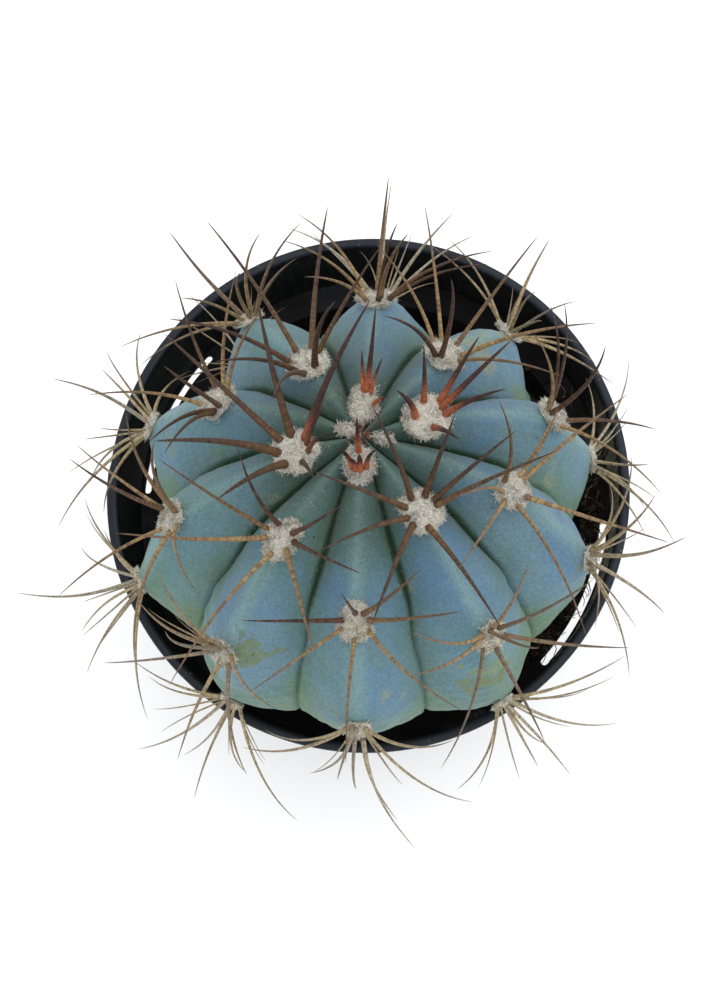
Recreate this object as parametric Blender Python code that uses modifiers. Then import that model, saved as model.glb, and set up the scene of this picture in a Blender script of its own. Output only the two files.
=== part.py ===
"""A young turk's cap cactus in a round black nursery pot. Metres, +Z up.

The origin is the centre of the pot's base. The plant stands a little forward of the pot's middle,
towards -Y, and leans back towards +Y. Ribs are numbered clockwise, seen from above, from the one at
the back.
"""

import math
import random

import bmesh
import bpy
import numpy as np
from mathutils import Matrix, Vector, noise
from mathutils.bvhtree import BVHTree

MM = 0.001
GAP = 0.3 * MM
SEAT_GAP = 0.36 * MM
MERGE = 0.00005
SEED = 7

# Pot: a tapered body, a ledge with two slots, a collar above it and a flat lip.
RIM_RADIUS = 54 * MM
POT_HEIGHT = 90 * MM
BASE_RADIUS = 38 * MM
WALL = 1.2 * MM
FLOOR = 1.6 * MM
LIP_WIDTH = 2.1 * MM
LIP_THICKNESS = 1.4 * MM
LIP_EDGE = 0.4 * MM
LEDGE_DEPTH = 21 * MM
LEDGE_THICKNESS = 1.4 * MM
COLLAR_TOP = RIM_RADIUS - LIP_WIDTH
COLLAR_FOOT = 50.7 * MM
THROAT = 45.2 * MM
POT_STEPS = 64
SLOT_OUTER = 50.3 * MM
SLOT_WIDTH = 1.5 * MM
SLOT_ARC = math.radians(39.5)
SLOT_MIDDLE = math.radians(156)
SLOT_COUNT = 2
SLOT_STEPS = 12
FOOT_BEVEL = 1.5 * MM
DRAIN_RADIUS = 3.5 * MM
DRAIN_CIRCLE = 26 * MM
DRAIN_COUNT = 4
LEDGE = POT_HEIGHT - LEDGE_DEPTH

# Potting mix: fills the pot to below the ledge, with a plain hole where the root neck stands.
MIX_LEVEL = 60 * MM
MIX_RELIEF = 1.3 * MM
MIX_GRAIN = 7 * MM
MIX_STEPS = 48
MIX_RINGS = 6
ROOT_RADIUS = 12.5 * MM
ROOT_TAPER = 1 * MM
ROOT_COLLAR = 2 * MM
ROOT_DEPTH = 14 * MM
ROOT_CENTRE = Vector((-1.0, -15.5, 0)) * MM

# Stem: ten ribs round a leaning axis. Latitude 0 is its widest ring and 90 degrees its crown.
RIBS = 10
STEM_CENTRE = Vector((0.7, -6.9, 100)) * MM
LEAN_RIGHT = math.radians(2.4)
LEAN_BACK = math.radians(14.6)
STEM_RADIUS = 46 * MM
CROWN_HEIGHT = 37 * MM
CROWN_POWER = 2.12
CROWN_DIP = 1.2 * MM
CROWN_DIP_WIDTH = 9 * MM
FOOT_HEIGHT = 37 * MM
FOOT_POWER = 1.85
GROOVE = 9.5 * MM
GROOVE_SHAPE = 1.3
GROOVE_FADE = 0.5
GROOVE_SHALLOWING = 0.35
GROOVE_TURN = math.radians(20)
SWELL = 0.7 * MM
FIRST_RIB = math.radians(88.8)
RIB_NUDGE = [math.radians(turn) for turn in (-2, -3, -1, 2, 1, 0, 1, 1, 0, 0)]
SIDES_PER_RIB = 8
STEM_RINGS = 18
LOWEST_LATITUDE = math.radians(-65)

# Areoles: they come in opposite pairs. Each pair is three ribs on from the pair before and a step lower.
FIRST_LATITUDE = 83.0
PAIR_STEP = 7.7
PAIRS = 14
LOWEST_AREOLE = 83 * MM
PAD_YOUNGEST = 4.3 * MM
PAD_LARGEST = 5.4 * MM
PAD_SHRINK = 0.2 * MM
PAD_SMALLEST = 3.4 * MM
PAD_HEIGHT = 0.44
PAD_LIFT = 0.3 * MM
PAD_SIDES = 10
PAD_RINGS = 6
CROWN_WOOL = Vector((5.6, 1.25, 1.6)) * MM
CROWN_WOOL_RIB = 2.9

# Spines: by rule, seven spread from each areole at these clock hours, 6 being down the rib, and one stands
# over them at 12.
RADIAL_HOURS = (6, 3.9, 8.1, 2.5, 9.5, 1.3, 10.7)
RADIAL_RISE = math.radians(38)
RADIAL_LENGTH = 26.5 * MM
LOWER_EXTRA = 4 * MM
CENTRAL_RISE = math.radians(54)
CENTRAL_LENGTH = 26 * MM
SPINE_CURVE = math.radians(14)
SPINE_RADIUS = 0.64 * MM
SPINE_MIDDLE_RADIUS = 0.44 * MM
SPINE_RADII = np.array((SPINE_RADIUS, SPINE_MIDDLE_RADIUS, 0))
SPINE_SIDES = 3
SPINE_ROOT = 0.45
SPINE_SAMPLES = 13
SPINE_CLEAR = 0.5 * MM
PAD_CLEAR = 0.85 * MM
STEM_CLEAR = 1.3 * MM
POT_CLEAR = 1.4 * MM

# How far a spine's hour, rise and length may differ: those placed by rule play a little, and any spine
# that would cross another goes further the harder it is to place.
SPINE_TRIES = 80
HOUR_PLAY = 0.3
HOUR_EFFORT = 0.95
RISE_PLAY = math.radians(6)
RISE_EFFORT = math.radians(26)
STEEPEST_RISE = math.radians(84)
LENGTH_PLAY = (0.88, 1.04)
LENGTH_EFFORT = 0.4

# Where the photograph shows only some of an areole's spines, the rule adds those of the free hours.
HOUR_APART = 1.1

# The two youngest pairs are still growing: their spines are shorter than the others and stand closer.
YOUNG_GROWTH = (0.45, 0.85)
YOUNG_RISE = math.radians(50)

# The photograph's camera, for the tips that are read off the picture.
PICTURE_MIDDLE = (361, 499.5)
FOCAL_PIXELS = 2085
CAMERA_TARGET = Vector((-1.2, -2.0, 90)) * MM
CAMERA_DISTANCE = 430 * MM
CAMERA_AZIMUTH = math.radians(22)
CAMERA_ELEVATION = math.radians(79)
TIP_STEP = 0.5 * MM
TIP_STEPS = 90
TIP_CHOICES = 120
RISE_SPREAD = math.radians(14)
LENGTH_SPREAD = 7 * MM
SEEN_LENGTH = 27 * MM

# Where the photograph shows spine tips, in its pixels from the top left, for each areole whose spines can
# be told apart. The first tip of each is its central spine's. Where a spine is much smaller than others of
# its age, a third value says how far it has grown.
SEEN_TIPS = {
    (0, 0): ((376, 305, 0.7), (362, 350), (383, 357), (352, 385, 0.25), (389, 396, 0.25)),
    (0, 1): ((357, 416), (348, 459), (359, 455), (377, 450), (337, 448)),
    (1, 0): (
        (371, 300), (257, 300), (163, 332), (152, 440), (216, 500), (324, 408, 0.35), (327, 433, 0.25),
        (315, 479, 0.35),
    ),
    (1, 1): ((424, 345), (396, 390, 0.6), (480, 335), (512, 340), (507, 388), (460, 440, 0.4)),
    (2, 0): (
        (372, 404), (455, 415), (313, 471), (316, 553), (372, 625), (503, 630), (560, 450), (517, 430),
    ),
    (2, 1): ((336, 300), (205, 218), (166, 317), (212, 360), (272, 397), (328, 204), (383, 242)),
    (3, 0): ((452, 276), (425, 200), (376, 240), (383, 315), (598, 322), (541, 231), (565, 375)),
    (3, 1): ((236, 445), (157, 458), (113, 533), (167, 687), (314, 655), (361, 574), (343, 505)),
    (4, 0): ((148, 443), (175, 278), (236, 270), (266, 307), (87, 395), (164, 454), (163, 365)),
    (4, 1): ((499, 400), (560, 405), (632, 392), (455, 575), (590, 637), (672, 543), (455, 497)),
    (5, 0): ((341, 592), (421, 570), (463, 611), (463, 712), (346, 765), (248, 693), (240, 621)),
    (5, 1): (
        (389, 176), (297, 210), (280, 235), (398, 221), (409, 233), (495, 247), (490, 264), (304, 278),
    ),
    (6, 0): ((609, 343), (538, 329), (553, 302), (566, 300), (658, 429), (665, 493), (522, 470)),
    (6, 1): ((68, 458), (121, 410), (71, 443), (56, 598), (191, 592), (129, 660), (152, 440)),
    (7, 0): (
        (168, 230), (258, 227), (301, 218), (297, 257), (180, 299), (118, 347), (137, 362), (238, 268),
    ),
    (7, 1): (
        (540, 648), (530, 560), (595, 580), (632, 648), (548, 745), (443, 773), (410, 680), (410, 632),
    ),
    (8, 0): ((160, 635), (132, 601), (101, 664), (178, 760), (243, 780), (278, 710), (155, 575)),
    (8, 1): ((551, 237), (450, 235), (431, 244), (538, 289), (543, 320), (597, 360), (613, 386)),
    (9, 0): ((685, 536), (637, 456), (614, 484), (656, 494), (670, 616), (632, 680), (593, 628)),
    (9, 1): ((50, 378), (135, 328), (98, 367), (188, 368), (84, 480), (53, 527), (98, 512)),
    (10, 1): (
        (356, 798), (241, 754), (264, 734), (337, 783), (398, 820), (417, 852), (475, 812), (456, 749),
        (309, 777),
    ),
    (11, 0): ((106, 530), (82, 498), (75, 548), (15, 592), (144, 722)),
    (11, 1): ((623, 416), (648, 465), (650, 508), (649, 535), (591, 376)),
    (12, 0): ((573, 778), (616, 677), (626, 655), (460, 797), (539, 768), (546, 745)),
    (13, 1): ((135, 752), (132, 659), (147, 678), (185, 753), (194, 800), (243, 780)),
}


def clear_scene():
    for obj in list(bpy.data.objects):
        bpy.data.objects.remove(obj)


def new_collection(name):
    collection = bpy.data.collections.new(name)
    bpy.context.scene.collection.children.link(collection)
    return collection


def new_material(name, colour, roughness):
    material = bpy.data.materials.new(name)
    material.use_nodes = True
    shader = material.node_tree.nodes["Principled BSDF"]
    shader.inputs["Base Color"].default_value = (*colour, 1)
    shader.inputs["Roughness"].default_value = roughness
    shader.inputs["Metallic"].default_value = 0
    material.diffuse_color = (*colour, 1)
    return material


def new_object(name, mesh, collection, material=None):
    obj = bpy.data.objects.new(name, mesh)
    collection.objects.link(obj)
    if material:
        mesh.materials.clear()
        mesh.materials.append(material)
    return obj


def mesh_from_bmesh(name, bm):
    bmesh.ops.recalc_face_normals(bm, faces=bm.faces)
    mesh = bpy.data.meshes.new(name)
    bm.to_mesh(mesh)
    bm.free()
    return mesh


def evaluated_mesh(obj):
    """The object's mesh with its modifiers applied."""
    graph = bpy.context.evaluated_depsgraph_get()
    return bpy.data.meshes.new_from_object(obj.evaluated_get(graph))


def apply_modifiers(obj):
    mesh = evaluated_mesh(obj)
    obj.modifiers.clear()
    obj.data = mesh


def turned_mesh(name, profile, steps):
    """A closed solid turned round Z. Its profile of (radius, height) starts and ends on the axis."""
    mesh = bpy.data.meshes.new(name)
    edges = [(i, i + 1) for i in range(len(profile) - 1)]
    mesh.from_pydata([(radius, 0, height) for radius, height in profile], edges, [])
    obj = new_object(name, mesh, bpy.context.scene.collection)
    screw = obj.modifiers.new("Screw", "SCREW")
    screw.steps = screw.render_steps = steps
    screw.use_merge_vertices = True
    screw.merge_threshold = MERGE
    turned = evaluated_mesh(obj)
    bpy.data.objects.remove(obj)
    bm = bmesh.new()
    bm.from_mesh(turned)
    bmesh.ops.remove_doubles(bm, verts=bm.verts, dist=MERGE)
    return mesh_from_bmesh(name, bm)


def cylinder_cutter(name, radius, low, high, centre, cutters, steps=32):
    bm = bmesh.new()
    bmesh.ops.create_cone(
        bm, cap_ends=True, segments=steps, radius1=radius, radius2=radius, depth=high - low
    )
    obj = new_object(name, mesh_from_bmesh(name, bm), cutters)
    obj.location = (centre[0], centre[1], (low + high) / 2)
    hide_cutter(obj)
    return obj


def hide_cutter(obj):
    obj.hide_render = True
    obj.display_type = "WIRE"


def boolean(obj, operation, other):
    """Adds a Boolean with one object, or with every object of a collection."""
    modifier = obj.modifiers.new(operation.title(), "BOOLEAN")
    modifier.operation = operation
    modifier.solver = "EXACT"
    modifier.material_mode = "TRANSFER"
    if isinstance(other, bpy.types.Collection):
        modifier.operand_type = "COLLECTION"
        modifier.collection = other
    else:
        modifier.object = other


def polar(radius, angle):
    return Vector((radius * math.cos(angle), radius * math.sin(angle), 0))


def slot_outline():
    """One slot's outline round the pot's axis: two arcs, joined by half circles."""
    half = SLOT_WIDTH / 2
    middle = SLOT_OUTER - half
    turn = SLOT_ARC / 2 - half / middle
    angles = [turn * (2 * step / SLOT_STEPS - 1) for step in range(SLOT_STEPS + 1)]

    def end(at, start):
        return [polar(middle, at) + polar(half, start + math.pi * part) for part in (0.25, 0.5, 0.75)]

    outer = [polar(SLOT_OUTER, angle) for angle in angles]
    inner = [polar(SLOT_OUTER - SLOT_WIDTH, angle) for angle in reversed(angles)]
    return outer + end(turn, turn) + inner + end(-turn, math.pi - turn)


def slot_cutter(index, cutters):
    """A slot-shaped block through the ledge, made as a filled curve with thickness."""
    curve = bpy.data.curves.new("slot_outline", "CURVE")
    curve.dimensions = "2D"
    curve.fill_mode = "BOTH"
    curve.extrude = 2 * LEDGE_THICKNESS
    spline = curve.splines.new("POLY")
    points = slot_outline()
    spline.points.add(len(points) - 1)
    for point, place in zip(spline.points, points):
        point.co = (*place, 1)
    spline.use_cyclic_u = True
    outline = new_object("slot_outline", curve, cutters)
    bm = bmesh.new()
    bm.from_mesh(evaluated_mesh(outline))
    bpy.data.objects.remove(outline)
    bmesh.ops.remove_doubles(bm, verts=bm.verts, dist=MERGE)
    name = f"slot_cutter_{index + 1}"
    cutter = new_object(name, mesh_from_bmesh(name, bm), cutters)
    cutter.location.z = LEDGE
    cutter.rotation_euler.z = SLOT_MIDDLE + index * 2 * math.pi / SLOT_COUNT
    hide_cutter(cutter)
    return cutter


def wall_inside(height):
    """Inner radius of the pot's tapered body at a height."""
    share = (height - FLOOR) / (LEDGE - FLOOR)
    return BASE_RADIUS - WALL + share * (THROAT - BASE_RADIUS + WALL)


def collar_inside(height):
    return COLLAR_FOOT + (height - LEDGE) / LEDGE_DEPTH * (COLLAR_TOP - COLLAR_FOOT)


def pot_profile():
    ledge_under = LEDGE - LEDGE_THICKNESS
    lip_under = POT_HEIGHT - LIP_THICKNESS
    return [
        (0, 0),
        (BASE_RADIUS - FOOT_BEVEL, 0),
        (BASE_RADIUS, FOOT_BEVEL),
        (wall_inside(ledge_under) + WALL, ledge_under),
        (COLLAR_FOOT + WALL, ledge_under),
        (collar_inside(lip_under) + WALL, lip_under),
        (RIM_RADIUS - LIP_EDGE, lip_under),
        (RIM_RADIUS, lip_under + LIP_EDGE),
        (RIM_RADIUS, POT_HEIGHT - LIP_EDGE),
        (RIM_RADIUS - LIP_EDGE, POT_HEIGHT),
        (COLLAR_TOP + LIP_EDGE, POT_HEIGHT),
        (COLLAR_TOP, POT_HEIGHT - LIP_EDGE),
        (COLLAR_FOOT, LEDGE),
        (THROAT, LEDGE),
        (wall_inside(FLOOR), FLOOR),
        (0, FLOOR),
    ]


def make_pot(parts, cutters):
    material = new_material("black_plastic", (0.018, 0.02, 0.024), 0.42)
    pot = new_object("pot", turned_mesh("pot", pot_profile(), POT_STEPS), parts, material)
    for index in range(SLOT_COUNT):
        boolean(pot, "DIFFERENCE", slot_cutter(index, cutters))
    for index in range(DRAIN_COUNT):
        turn = (index + 0.5) * 2 * math.pi / DRAIN_COUNT
        centre = (DRAIN_CIRCLE * math.cos(turn), DRAIN_CIRCLE * math.sin(turn))
        name = f"drain_cutter_{index + 1}"
        drain = cylinder_cutter(name, DRAIN_RADIUS, -FLOOR, 2 * FLOOR, centre, cutters, steps=16)
        boolean(pot, "DIFFERENCE", drain)
    return pot


def make_mix(parts, cutters):
    """The potting mix, uneven on top, with the hole that the root neck stands in."""
    material = new_material("potting_mix", (0.045, 0.028, 0.018), 0.95)
    bottom = FLOOR + GAP
    top_radius = wall_inside(MIX_LEVEL) - GAP
    profile = [(0, bottom), (wall_inside(bottom) - GAP, bottom)]
    profile += [(top_radius * (1 - ring / MIX_RINGS), MIX_LEVEL) for ring in range(MIX_RINGS + 1)]
    mesh = turned_mesh("potting_mix", profile, MIX_STEPS)
    for vertex in mesh.vertices:
        if vertex.co.z > MIX_LEVEL - MM:
            rough = noise.noise(Vector((vertex.co.x, vertex.co.y, SEED * MM)) / MIX_GRAIN)
            vertex.co.z += MIX_RELIEF * abs(rough)
    mix = new_object("potting_mix", mesh, parts, material)
    hole_bottom = MIX_LEVEL - ROOT_DEPTH - GAP
    hole = cylinder_cutter(
        "root_hole_cutter", ROOT_RADIUS + GAP, hole_bottom, POT_HEIGHT, ROOT_CENTRE, cutters, steps=40
    )
    boolean(mix, "DIFFERENCE", hole)
    return mix


def stem_frame():
    """The stem's own directions: right, back and up its leaning axis."""
    axis = Vector((math.tan(LEAN_RIGHT), math.tan(LEAN_BACK), 1)).normalized()
    right = (Vector((1, 0, 0)) - axis * axis.x).normalized()
    return right, axis.cross(right), axis


def rib_angle(rib):
    """The angle round the axis of a rib, whose number may be a fraction between two ribs."""
    before = math.floor(rib)
    share = rib - before
    nudge = RIB_NUDGE[before % RIBS] * (1 - share) + RIB_NUDGE[(before + 1) % RIBS] * share
    return FIRST_RIB - rib * 2 * math.pi / RIBS + nudge


def crest_profile(latitude):
    """Radius and height of a rib's crest, from the stem's centre."""
    height, power = (CROWN_HEIGHT, CROWN_POWER) if latitude > 0 else (FOOT_HEIGHT, FOOT_POWER)
    radius = STEM_RADIUS * abs(math.cos(latitude)) ** (2 / power)
    rise = height * abs(math.sin(latitude)) ** (2 / power)
    if latitude > 0:
        return radius, rise - CROWN_DIP * math.exp(-((radius / CROWN_DIP_WIDTH) ** 2))
    return radius, -rise


def crest_normal(latitude):
    """Outward direction (radial, axial) of the crest's profile."""
    step = 0.01
    radius_low, height_low = crest_profile(latitude - step)
    radius_high, height_high = crest_profile(latitude + step)
    normal = Vector((height_high - height_low, radius_low - radius_high))
    return normal.normalized()


def first_latitude(rib):
    """Latitude in degrees of the youngest areole on a rib."""
    for pair in range(RIBS // 2):
        if (rib + 3 * pair) % (RIBS // 2) == 0:
            return FIRST_LATITUDE - PAIR_STEP * pair
    raise ValueError(rib)


def swell(rib, latitude):
    """The crest's low swelling round each areole."""
    period = PAIR_STEP * RIBS / 2
    phase = (math.degrees(latitude) - first_latitude(round(rib) % RIBS)) / period
    return SWELL * math.cos(2 * math.pi * phase) * math.cos(latitude)


def groove_depth(latitude):
    """Depth of the grooves, which narrow to nothing at the crown and are shallow round the foot."""
    lower = 1 - GROOVE_SHALLOWING * (1 - math.tanh(latitude / GROOVE_TURN))
    return GROOVE * lower * max(math.cos(latitude), 0) ** GROOVE_FADE


def stem_point(rib, latitude):
    """A point of the ribbed surface. A whole rib number is a crest, and a half one is a groove."""
    right, back, axis = stem_frame()
    radius, height = crest_profile(latitude)
    normal = crest_normal(latitude)
    across = 2 * abs(rib - round(rib))
    groove = groove_depth(latitude) * across**GROOVE_SHAPE
    offset = swell(rib, latitude) * (1 - across) - groove
    radius = max(radius + normal.x * offset, 0)
    height += normal.y * offset
    angle = rib_angle(rib)
    outward = right * math.cos(angle) + back * math.sin(angle)
    return STEM_CENTRE + outward * radius + axis * height


def root_point(rib, depth):
    """A point round the root neck, which goes straight down into the potting mix."""
    angle = rib_angle(rib)
    radius = ROOT_RADIUS - ROOT_TAPER * max(depth, 0) / ROOT_DEPTH
    place = ROOT_CENTRE + polar(radius, angle)
    place.z = MIX_LEVEL - depth
    return place


def shape_stem(bm):
    """Moves a sphere's rings onto the ribbed body, and the last three onto the root neck."""
    ring_step = math.pi / STEM_RINGS
    body_rings = STEM_RINGS - 3
    body_step = (math.pi / 2 - LOWEST_LATITUDE) / body_rings
    for vertex in bm.verts:
        ring = round((math.pi / 2 - math.asin(max(-1, min(1, vertex.co.z)))) / ring_step)
        turn = math.atan2(vertex.co.y, vertex.co.x) / (2 * math.pi)
        rib = -round(turn * RIBS * SIDES_PER_RIB) / SIDES_PER_RIB
        if ring == 0:
            vertex.co = stem_point(0, math.pi / 2)
        elif ring <= body_rings:
            vertex.co = stem_point(rib, math.pi / 2 - ring * body_step)
        elif ring == body_rings + 1:
            vertex.co = root_point(rib, -ROOT_COLLAR)
        elif ring < STEM_RINGS:
            vertex.co = root_point(rib, ROOT_DEPTH)
        else:
            vertex.co = ROOT_CENTRE + Vector((0, 0, MIX_LEVEL - ROOT_DEPTH))


def make_stem(parts):
    material = new_material("cactus_skin", (0.13, 0.27, 0.33), 0.6)
    bm = bmesh.new()
    bmesh.ops.create_uvsphere(
        bm, u_segments=RIBS * SIDES_PER_RIB, v_segments=STEM_RINGS, radius=1
    )
    shape_stem(bm)
    return new_object("stem", mesh_from_bmesh("stem", bm), parts, material)


def make_seat_cutter(stem, cutters):
    """The stem grown by the gap, which trims whatever sits on it."""
    mesh = stem.data.copy()
    for vertex in mesh.vertices:
        vertex.co += vertex.normal * SEAT_GAP
    cutter = new_object("seat_cutter", mesh, cutters)
    hide_cutter(cutter)
    return cutter


class Areole:
    """One woolly pad's place on its rib, with its own directions up the rib, to the right and outward."""

    def __init__(self, pair, side):
        self.pair = pair
        self.side = side
        self.rib = (side * RIBS // 2 - 3 * pair) % RIBS
        self.latitude = math.radians(FIRST_LATITUDE - PAIR_STEP * pair)
        self.place = stem_point(self.rib, self.latitude)
        radial, axial = crest_normal(self.latitude)
        right, back, axis = stem_frame()
        angle = rib_angle(self.rib)
        outward = right * math.cos(angle) + back * math.sin(angle)
        self.normal = outward * radial + axis * axial
        self.up = axis * radial - outward * axial
        self.right = self.up.cross(self.normal)
        aged = PAD_LARGEST - PAD_SHRINK * (pair - 1)
        self.radius = max(aged, PAD_SMALLEST) if pair else PAD_YOUNGEST
        self.name = f"areole_{pair:02d}_{'ab'[side]}"

    def direction(self, hour, rise):
        """The direction at a clock hour round the areole, with 12 towards the crown, risen off the skin."""
        turn = hour / 12 * 2 * math.pi
        along = self.up * math.cos(turn) + self.right * math.sin(turn)
        return along * math.cos(rise) + self.normal * math.sin(rise)


def spine_root(areole, hour):
    """Where a spine leaves the wool: part of the way out on its own side of the pad."""
    return areole.place + areole.direction(hour, 0) * areole.radius * SPINE_ROOT + areole.normal * PAD_LIFT


def spine_path(areole, hour, rise, length):
    """Root, middle and tip of a spine, which starts steeper than it ends."""
    root = spine_root(areole, hour)
    bend = root + areole.direction(hour, min(rise + SPINE_CURVE, math.pi / 2)) * length / 2
    tip = root + areole.direction(hour, rise) * length
    return [root, root / 4 + bend / 2 + tip / 4, tip]


def picture_ray(pixel):
    """The camera's place, and the direction from there to a pixel of the photograph."""
    level = Vector((math.sin(CAMERA_AZIMUTH), -math.cos(CAMERA_AZIMUTH), 0))
    back = level * math.cos(CAMERA_ELEVATION) + Vector((0, 0, math.sin(CAMERA_ELEVATION)))
    right = Vector((0, 1, 0)).cross(back).normalized()
    up = back.cross(right)
    across, down = pixel[0] - PICTURE_MIDDLE[0], pixel[1] - PICTURE_MIDDLE[1]
    way = right * across - up * down - back * FOCAL_PIXELS
    return CAMERA_TARGET + back * CAMERA_DISTANCE, way.normalized()


def seen_spines(areole, pixel, central, growth=None):
    """Hour, rise and length of the spines whose tip shows at a pixel, the likeliest first.

    The tip lies somewhere on the pixel's ray. It is likeliest where the spine comes nearest to the usual
    rise and length for its growth, which follows from its areole's age unless it is given.
    """
    if growth is None:
        growth = YOUNG_GROWTH[areole.pair] if areole.pair < len(YOUNG_GROWTH) else 1
    usual_rise = (CENTRAL_RISE if central else RADIAL_RISE) + YOUNG_RISE * (1 - growth)
    eye, way = picture_ray(pixel)
    nearest = (areole.place - eye).dot(way)
    found = []
    for step in range(-TIP_STEPS, TIP_STEPS + 1):
        tip = eye + way * (nearest + step * TIP_STEP)
        ahead = tip - areole.place
        hour = math.atan2(ahead.dot(areole.right), ahead.dot(areole.up)) * 12 / (2 * math.pi)
        span = tip - spine_root(areole, hour)
        rise = math.asin(span.normalized().dot(areole.normal))
        misfit = (rise - usual_rise) / RISE_SPREAD, (span.length - SEEN_LENGTH * growth) / LENGTH_SPREAD
        found.append((math.hypot(*misfit), (hour, rise, span.length)))
    found.sort()
    return [spine for misfit, spine in found[:TIP_CHOICES]]


def rule_spine(rng, hour, rise, length):
    """A spine placed by rule, with small differences of its own."""
    hour += rng.uniform(-1, 1) * HOUR_PLAY
    rise += rng.uniform(-1, 1) * RISE_PLAY
    return hour, rise, length * rng.uniform(*LENGTH_PLAY)


def spine_plan(areole, rng):
    """For each spine of an areole, its possible hours, rises and lengths, the likeliest first.

    Those that the photograph shows come first. The rule fills the hours that they leave empty.
    """
    tips = SEEN_TIPS.get((areole.pair, areole.side), ())
    plan = [seen_spines(areole, tip[:2], tip is tips[0], *tip[2:]) for tip in tips]
    if areole.pair < len(YOUNG_GROWTH):
        return plan
    for hour in RADIAL_HOURS:
        lower = math.cos((hour - 6) / 12 * 2 * math.pi)
        taken = any(abs((hour - choices[0][0] + 6) % 12 - 6) < HOUR_APART for choices in plan)
        if not taken and len(plan) < len(RADIAL_HOURS):
            plan.append([rule_spine(rng, hour, RADIAL_RISE, RADIAL_LENGTH + LOWER_EXTRA * lower)])
    if not tips:
        plan.append([rule_spine(rng, 12, CENTRAL_RISE, CENTRAL_LENGTH)])
    return plan


class Room:
    """What spines stay clear of: the pot, the potting mix, the stem, the pads and earlier spines."""

    def __init__(self, stem, areoles):
        bm = bmesh.new()
        bm.from_mesh(stem.data)
        self.stem = BVHTree.FromBMesh(bm)
        bm.free()
        self.pads = [(areole, np.array(areole.place + areole.normal * PAD_LIFT)) for areole in areoles]
        self.spines = []

    @staticmethod
    def samples(path):
        """Points down a spine's middle."""
        root, middle, tip = (np.array(point) for point in path)
        steps = np.linspace(0, 1, SPINE_SAMPLES)[:, None]
        first = root + (middle - root) * steps
        return np.concatenate([first, middle + (tip - middle) * steps[1:]])

    def clear_of_pot(self, points):
        for x, y, z in points:
            radius = math.hypot(x, y)
            if z < LEDGE + POT_CLEAR:
                if radius > THROAT - POT_CLEAR or z < MIX_LEVEL + MIX_RELIEF + POT_CLEAR:
                    return False
            elif z < POT_HEIGHT + POT_CLEAR:
                outside = radius > RIM_RADIUS + POT_CLEAR
                if not outside and radius > collar_inside(min(z, POT_HEIGHT)) - POT_CLEAR:
                    return False
        return True

    def clear_of_plant(self, areole, points):
        for other, centre in self.pads:
            if other is not areole:
                nearest = np.linalg.norm(points - centre, axis=1).min()
                if nearest < other.radius + PAD_CLEAR:
                    return False
        own = np.array(areole.place)
        for point in points:
            away = np.linalg.norm(point - own) > areole.radius
            if away and self.stem.find_nearest(Vector(point))[3] < STEM_CLEAR:
                return False
        return True

    def clear_of_spines(self, areole, points):
        places = np.linspace(0, len(SPINE_RADII) - 1, len(points))
        own_thick = np.interp(places, range(len(SPINE_RADII)), SPINE_RADII)
        for owner, starts, ends in self.spines:
            if owner is areole:
                continue
            along = ends - starts
            share = ((points[:, None] - starts) * along).sum(2) / (along * along).sum(1)
            share = np.clip(share, 0, 1)
            apart = np.linalg.norm(points[:, None] - starts - along * share[..., None], axis=2)
            thick = SPINE_RADII[:-1] + np.diff(SPINE_RADII) * share
            if (apart - thick - own_thick[:, None]).min() < SPINE_CLEAR:
                return False
        return True

    def takes(self, areole, path):
        points = self.samples(path)
        free = self.clear_of_pot(points) and self.clear_of_spines(areole, points)
        return free and self.clear_of_plant(areole, points)

    def add(self, areole, path):
        corners = np.array([tuple(point) for point in path])
        self.spines.append((areole, corners[:-1], corners[1:]))


def first_clear(areole, room, choices):
    """The path of the likeliest of a spine's choices that crosses nothing."""
    for choice in choices:
        path = spine_path(areole, *choice)
        if room.takes(areole, path):
            return path
    return None


def bent_clear(areole, room, rng, hour, rise, length):
    """The spine's path, turned, raised and shortened further and further until it crosses nothing."""
    for attempt in range(SPINE_TRIES):
        effort = attempt / SPINE_TRIES
        turned = hour + rng.uniform(-1, 1) * HOUR_EFFORT * effort
        raised = rise + rng.random() * RISE_EFFORT * effort
        scaled = length * (1 - rng.random() * LENGTH_EFFORT * effort)
        path = spine_path(areole, turned, min(raised, STEEPEST_RISE), scaled)
        if room.takes(areole, path):
            return path
    return None


def spine_mesh(name, path):
    """A three-sided needle through the path's points, closed at its root and ending in a point."""
    root, middle, tip = path
    toward = (tip - root).normalized()
    side = toward.orthogonal().normalized()
    other = toward.cross(side)
    turns = [2 * math.pi * k / SPINE_SIDES for k in range(SPINE_SIDES)]
    around = [side * math.cos(turn) + other * math.sin(turn) for turn in turns]
    bm = bmesh.new()
    rings = []
    for centre, radius in ((root, SPINE_RADIUS), (middle, SPINE_MIDDLE_RADIUS)):
        rings.append([bm.verts.new(centre + out * radius) for out in around])
    point = bm.verts.new(tip)
    bm.faces.new(rings[0])
    for k in range(SPINE_SIDES):
        after = (k + 1) % SPINE_SIDES
        bm.faces.new((rings[0][k], rings[0][after], rings[1][after], rings[1][k]))
        bm.faces.new((rings[1][k], rings[1][after], point))
    bmesh.ops.triangulate(bm, faces=bm.faces)
    return mesh_from_bmesh(name, bm)


def pad_mesh(name, centre, axes, size):
    """A flattened ball of wool. The axes are its directions, and the size its half lengths along them."""
    bm = bmesh.new()
    bmesh.ops.create_uvsphere(bm, u_segments=PAD_SIDES, v_segments=PAD_RINGS, radius=1)
    turn = Matrix(axes).transposed().to_4x4()
    scale = Matrix.Diagonal((*size, 1))
    bmesh.ops.transform(bm, matrix=Matrix.Translation(centre) @ turn @ scale, verts=bm.verts)
    return mesh_from_bmesh(name, bm)


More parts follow.
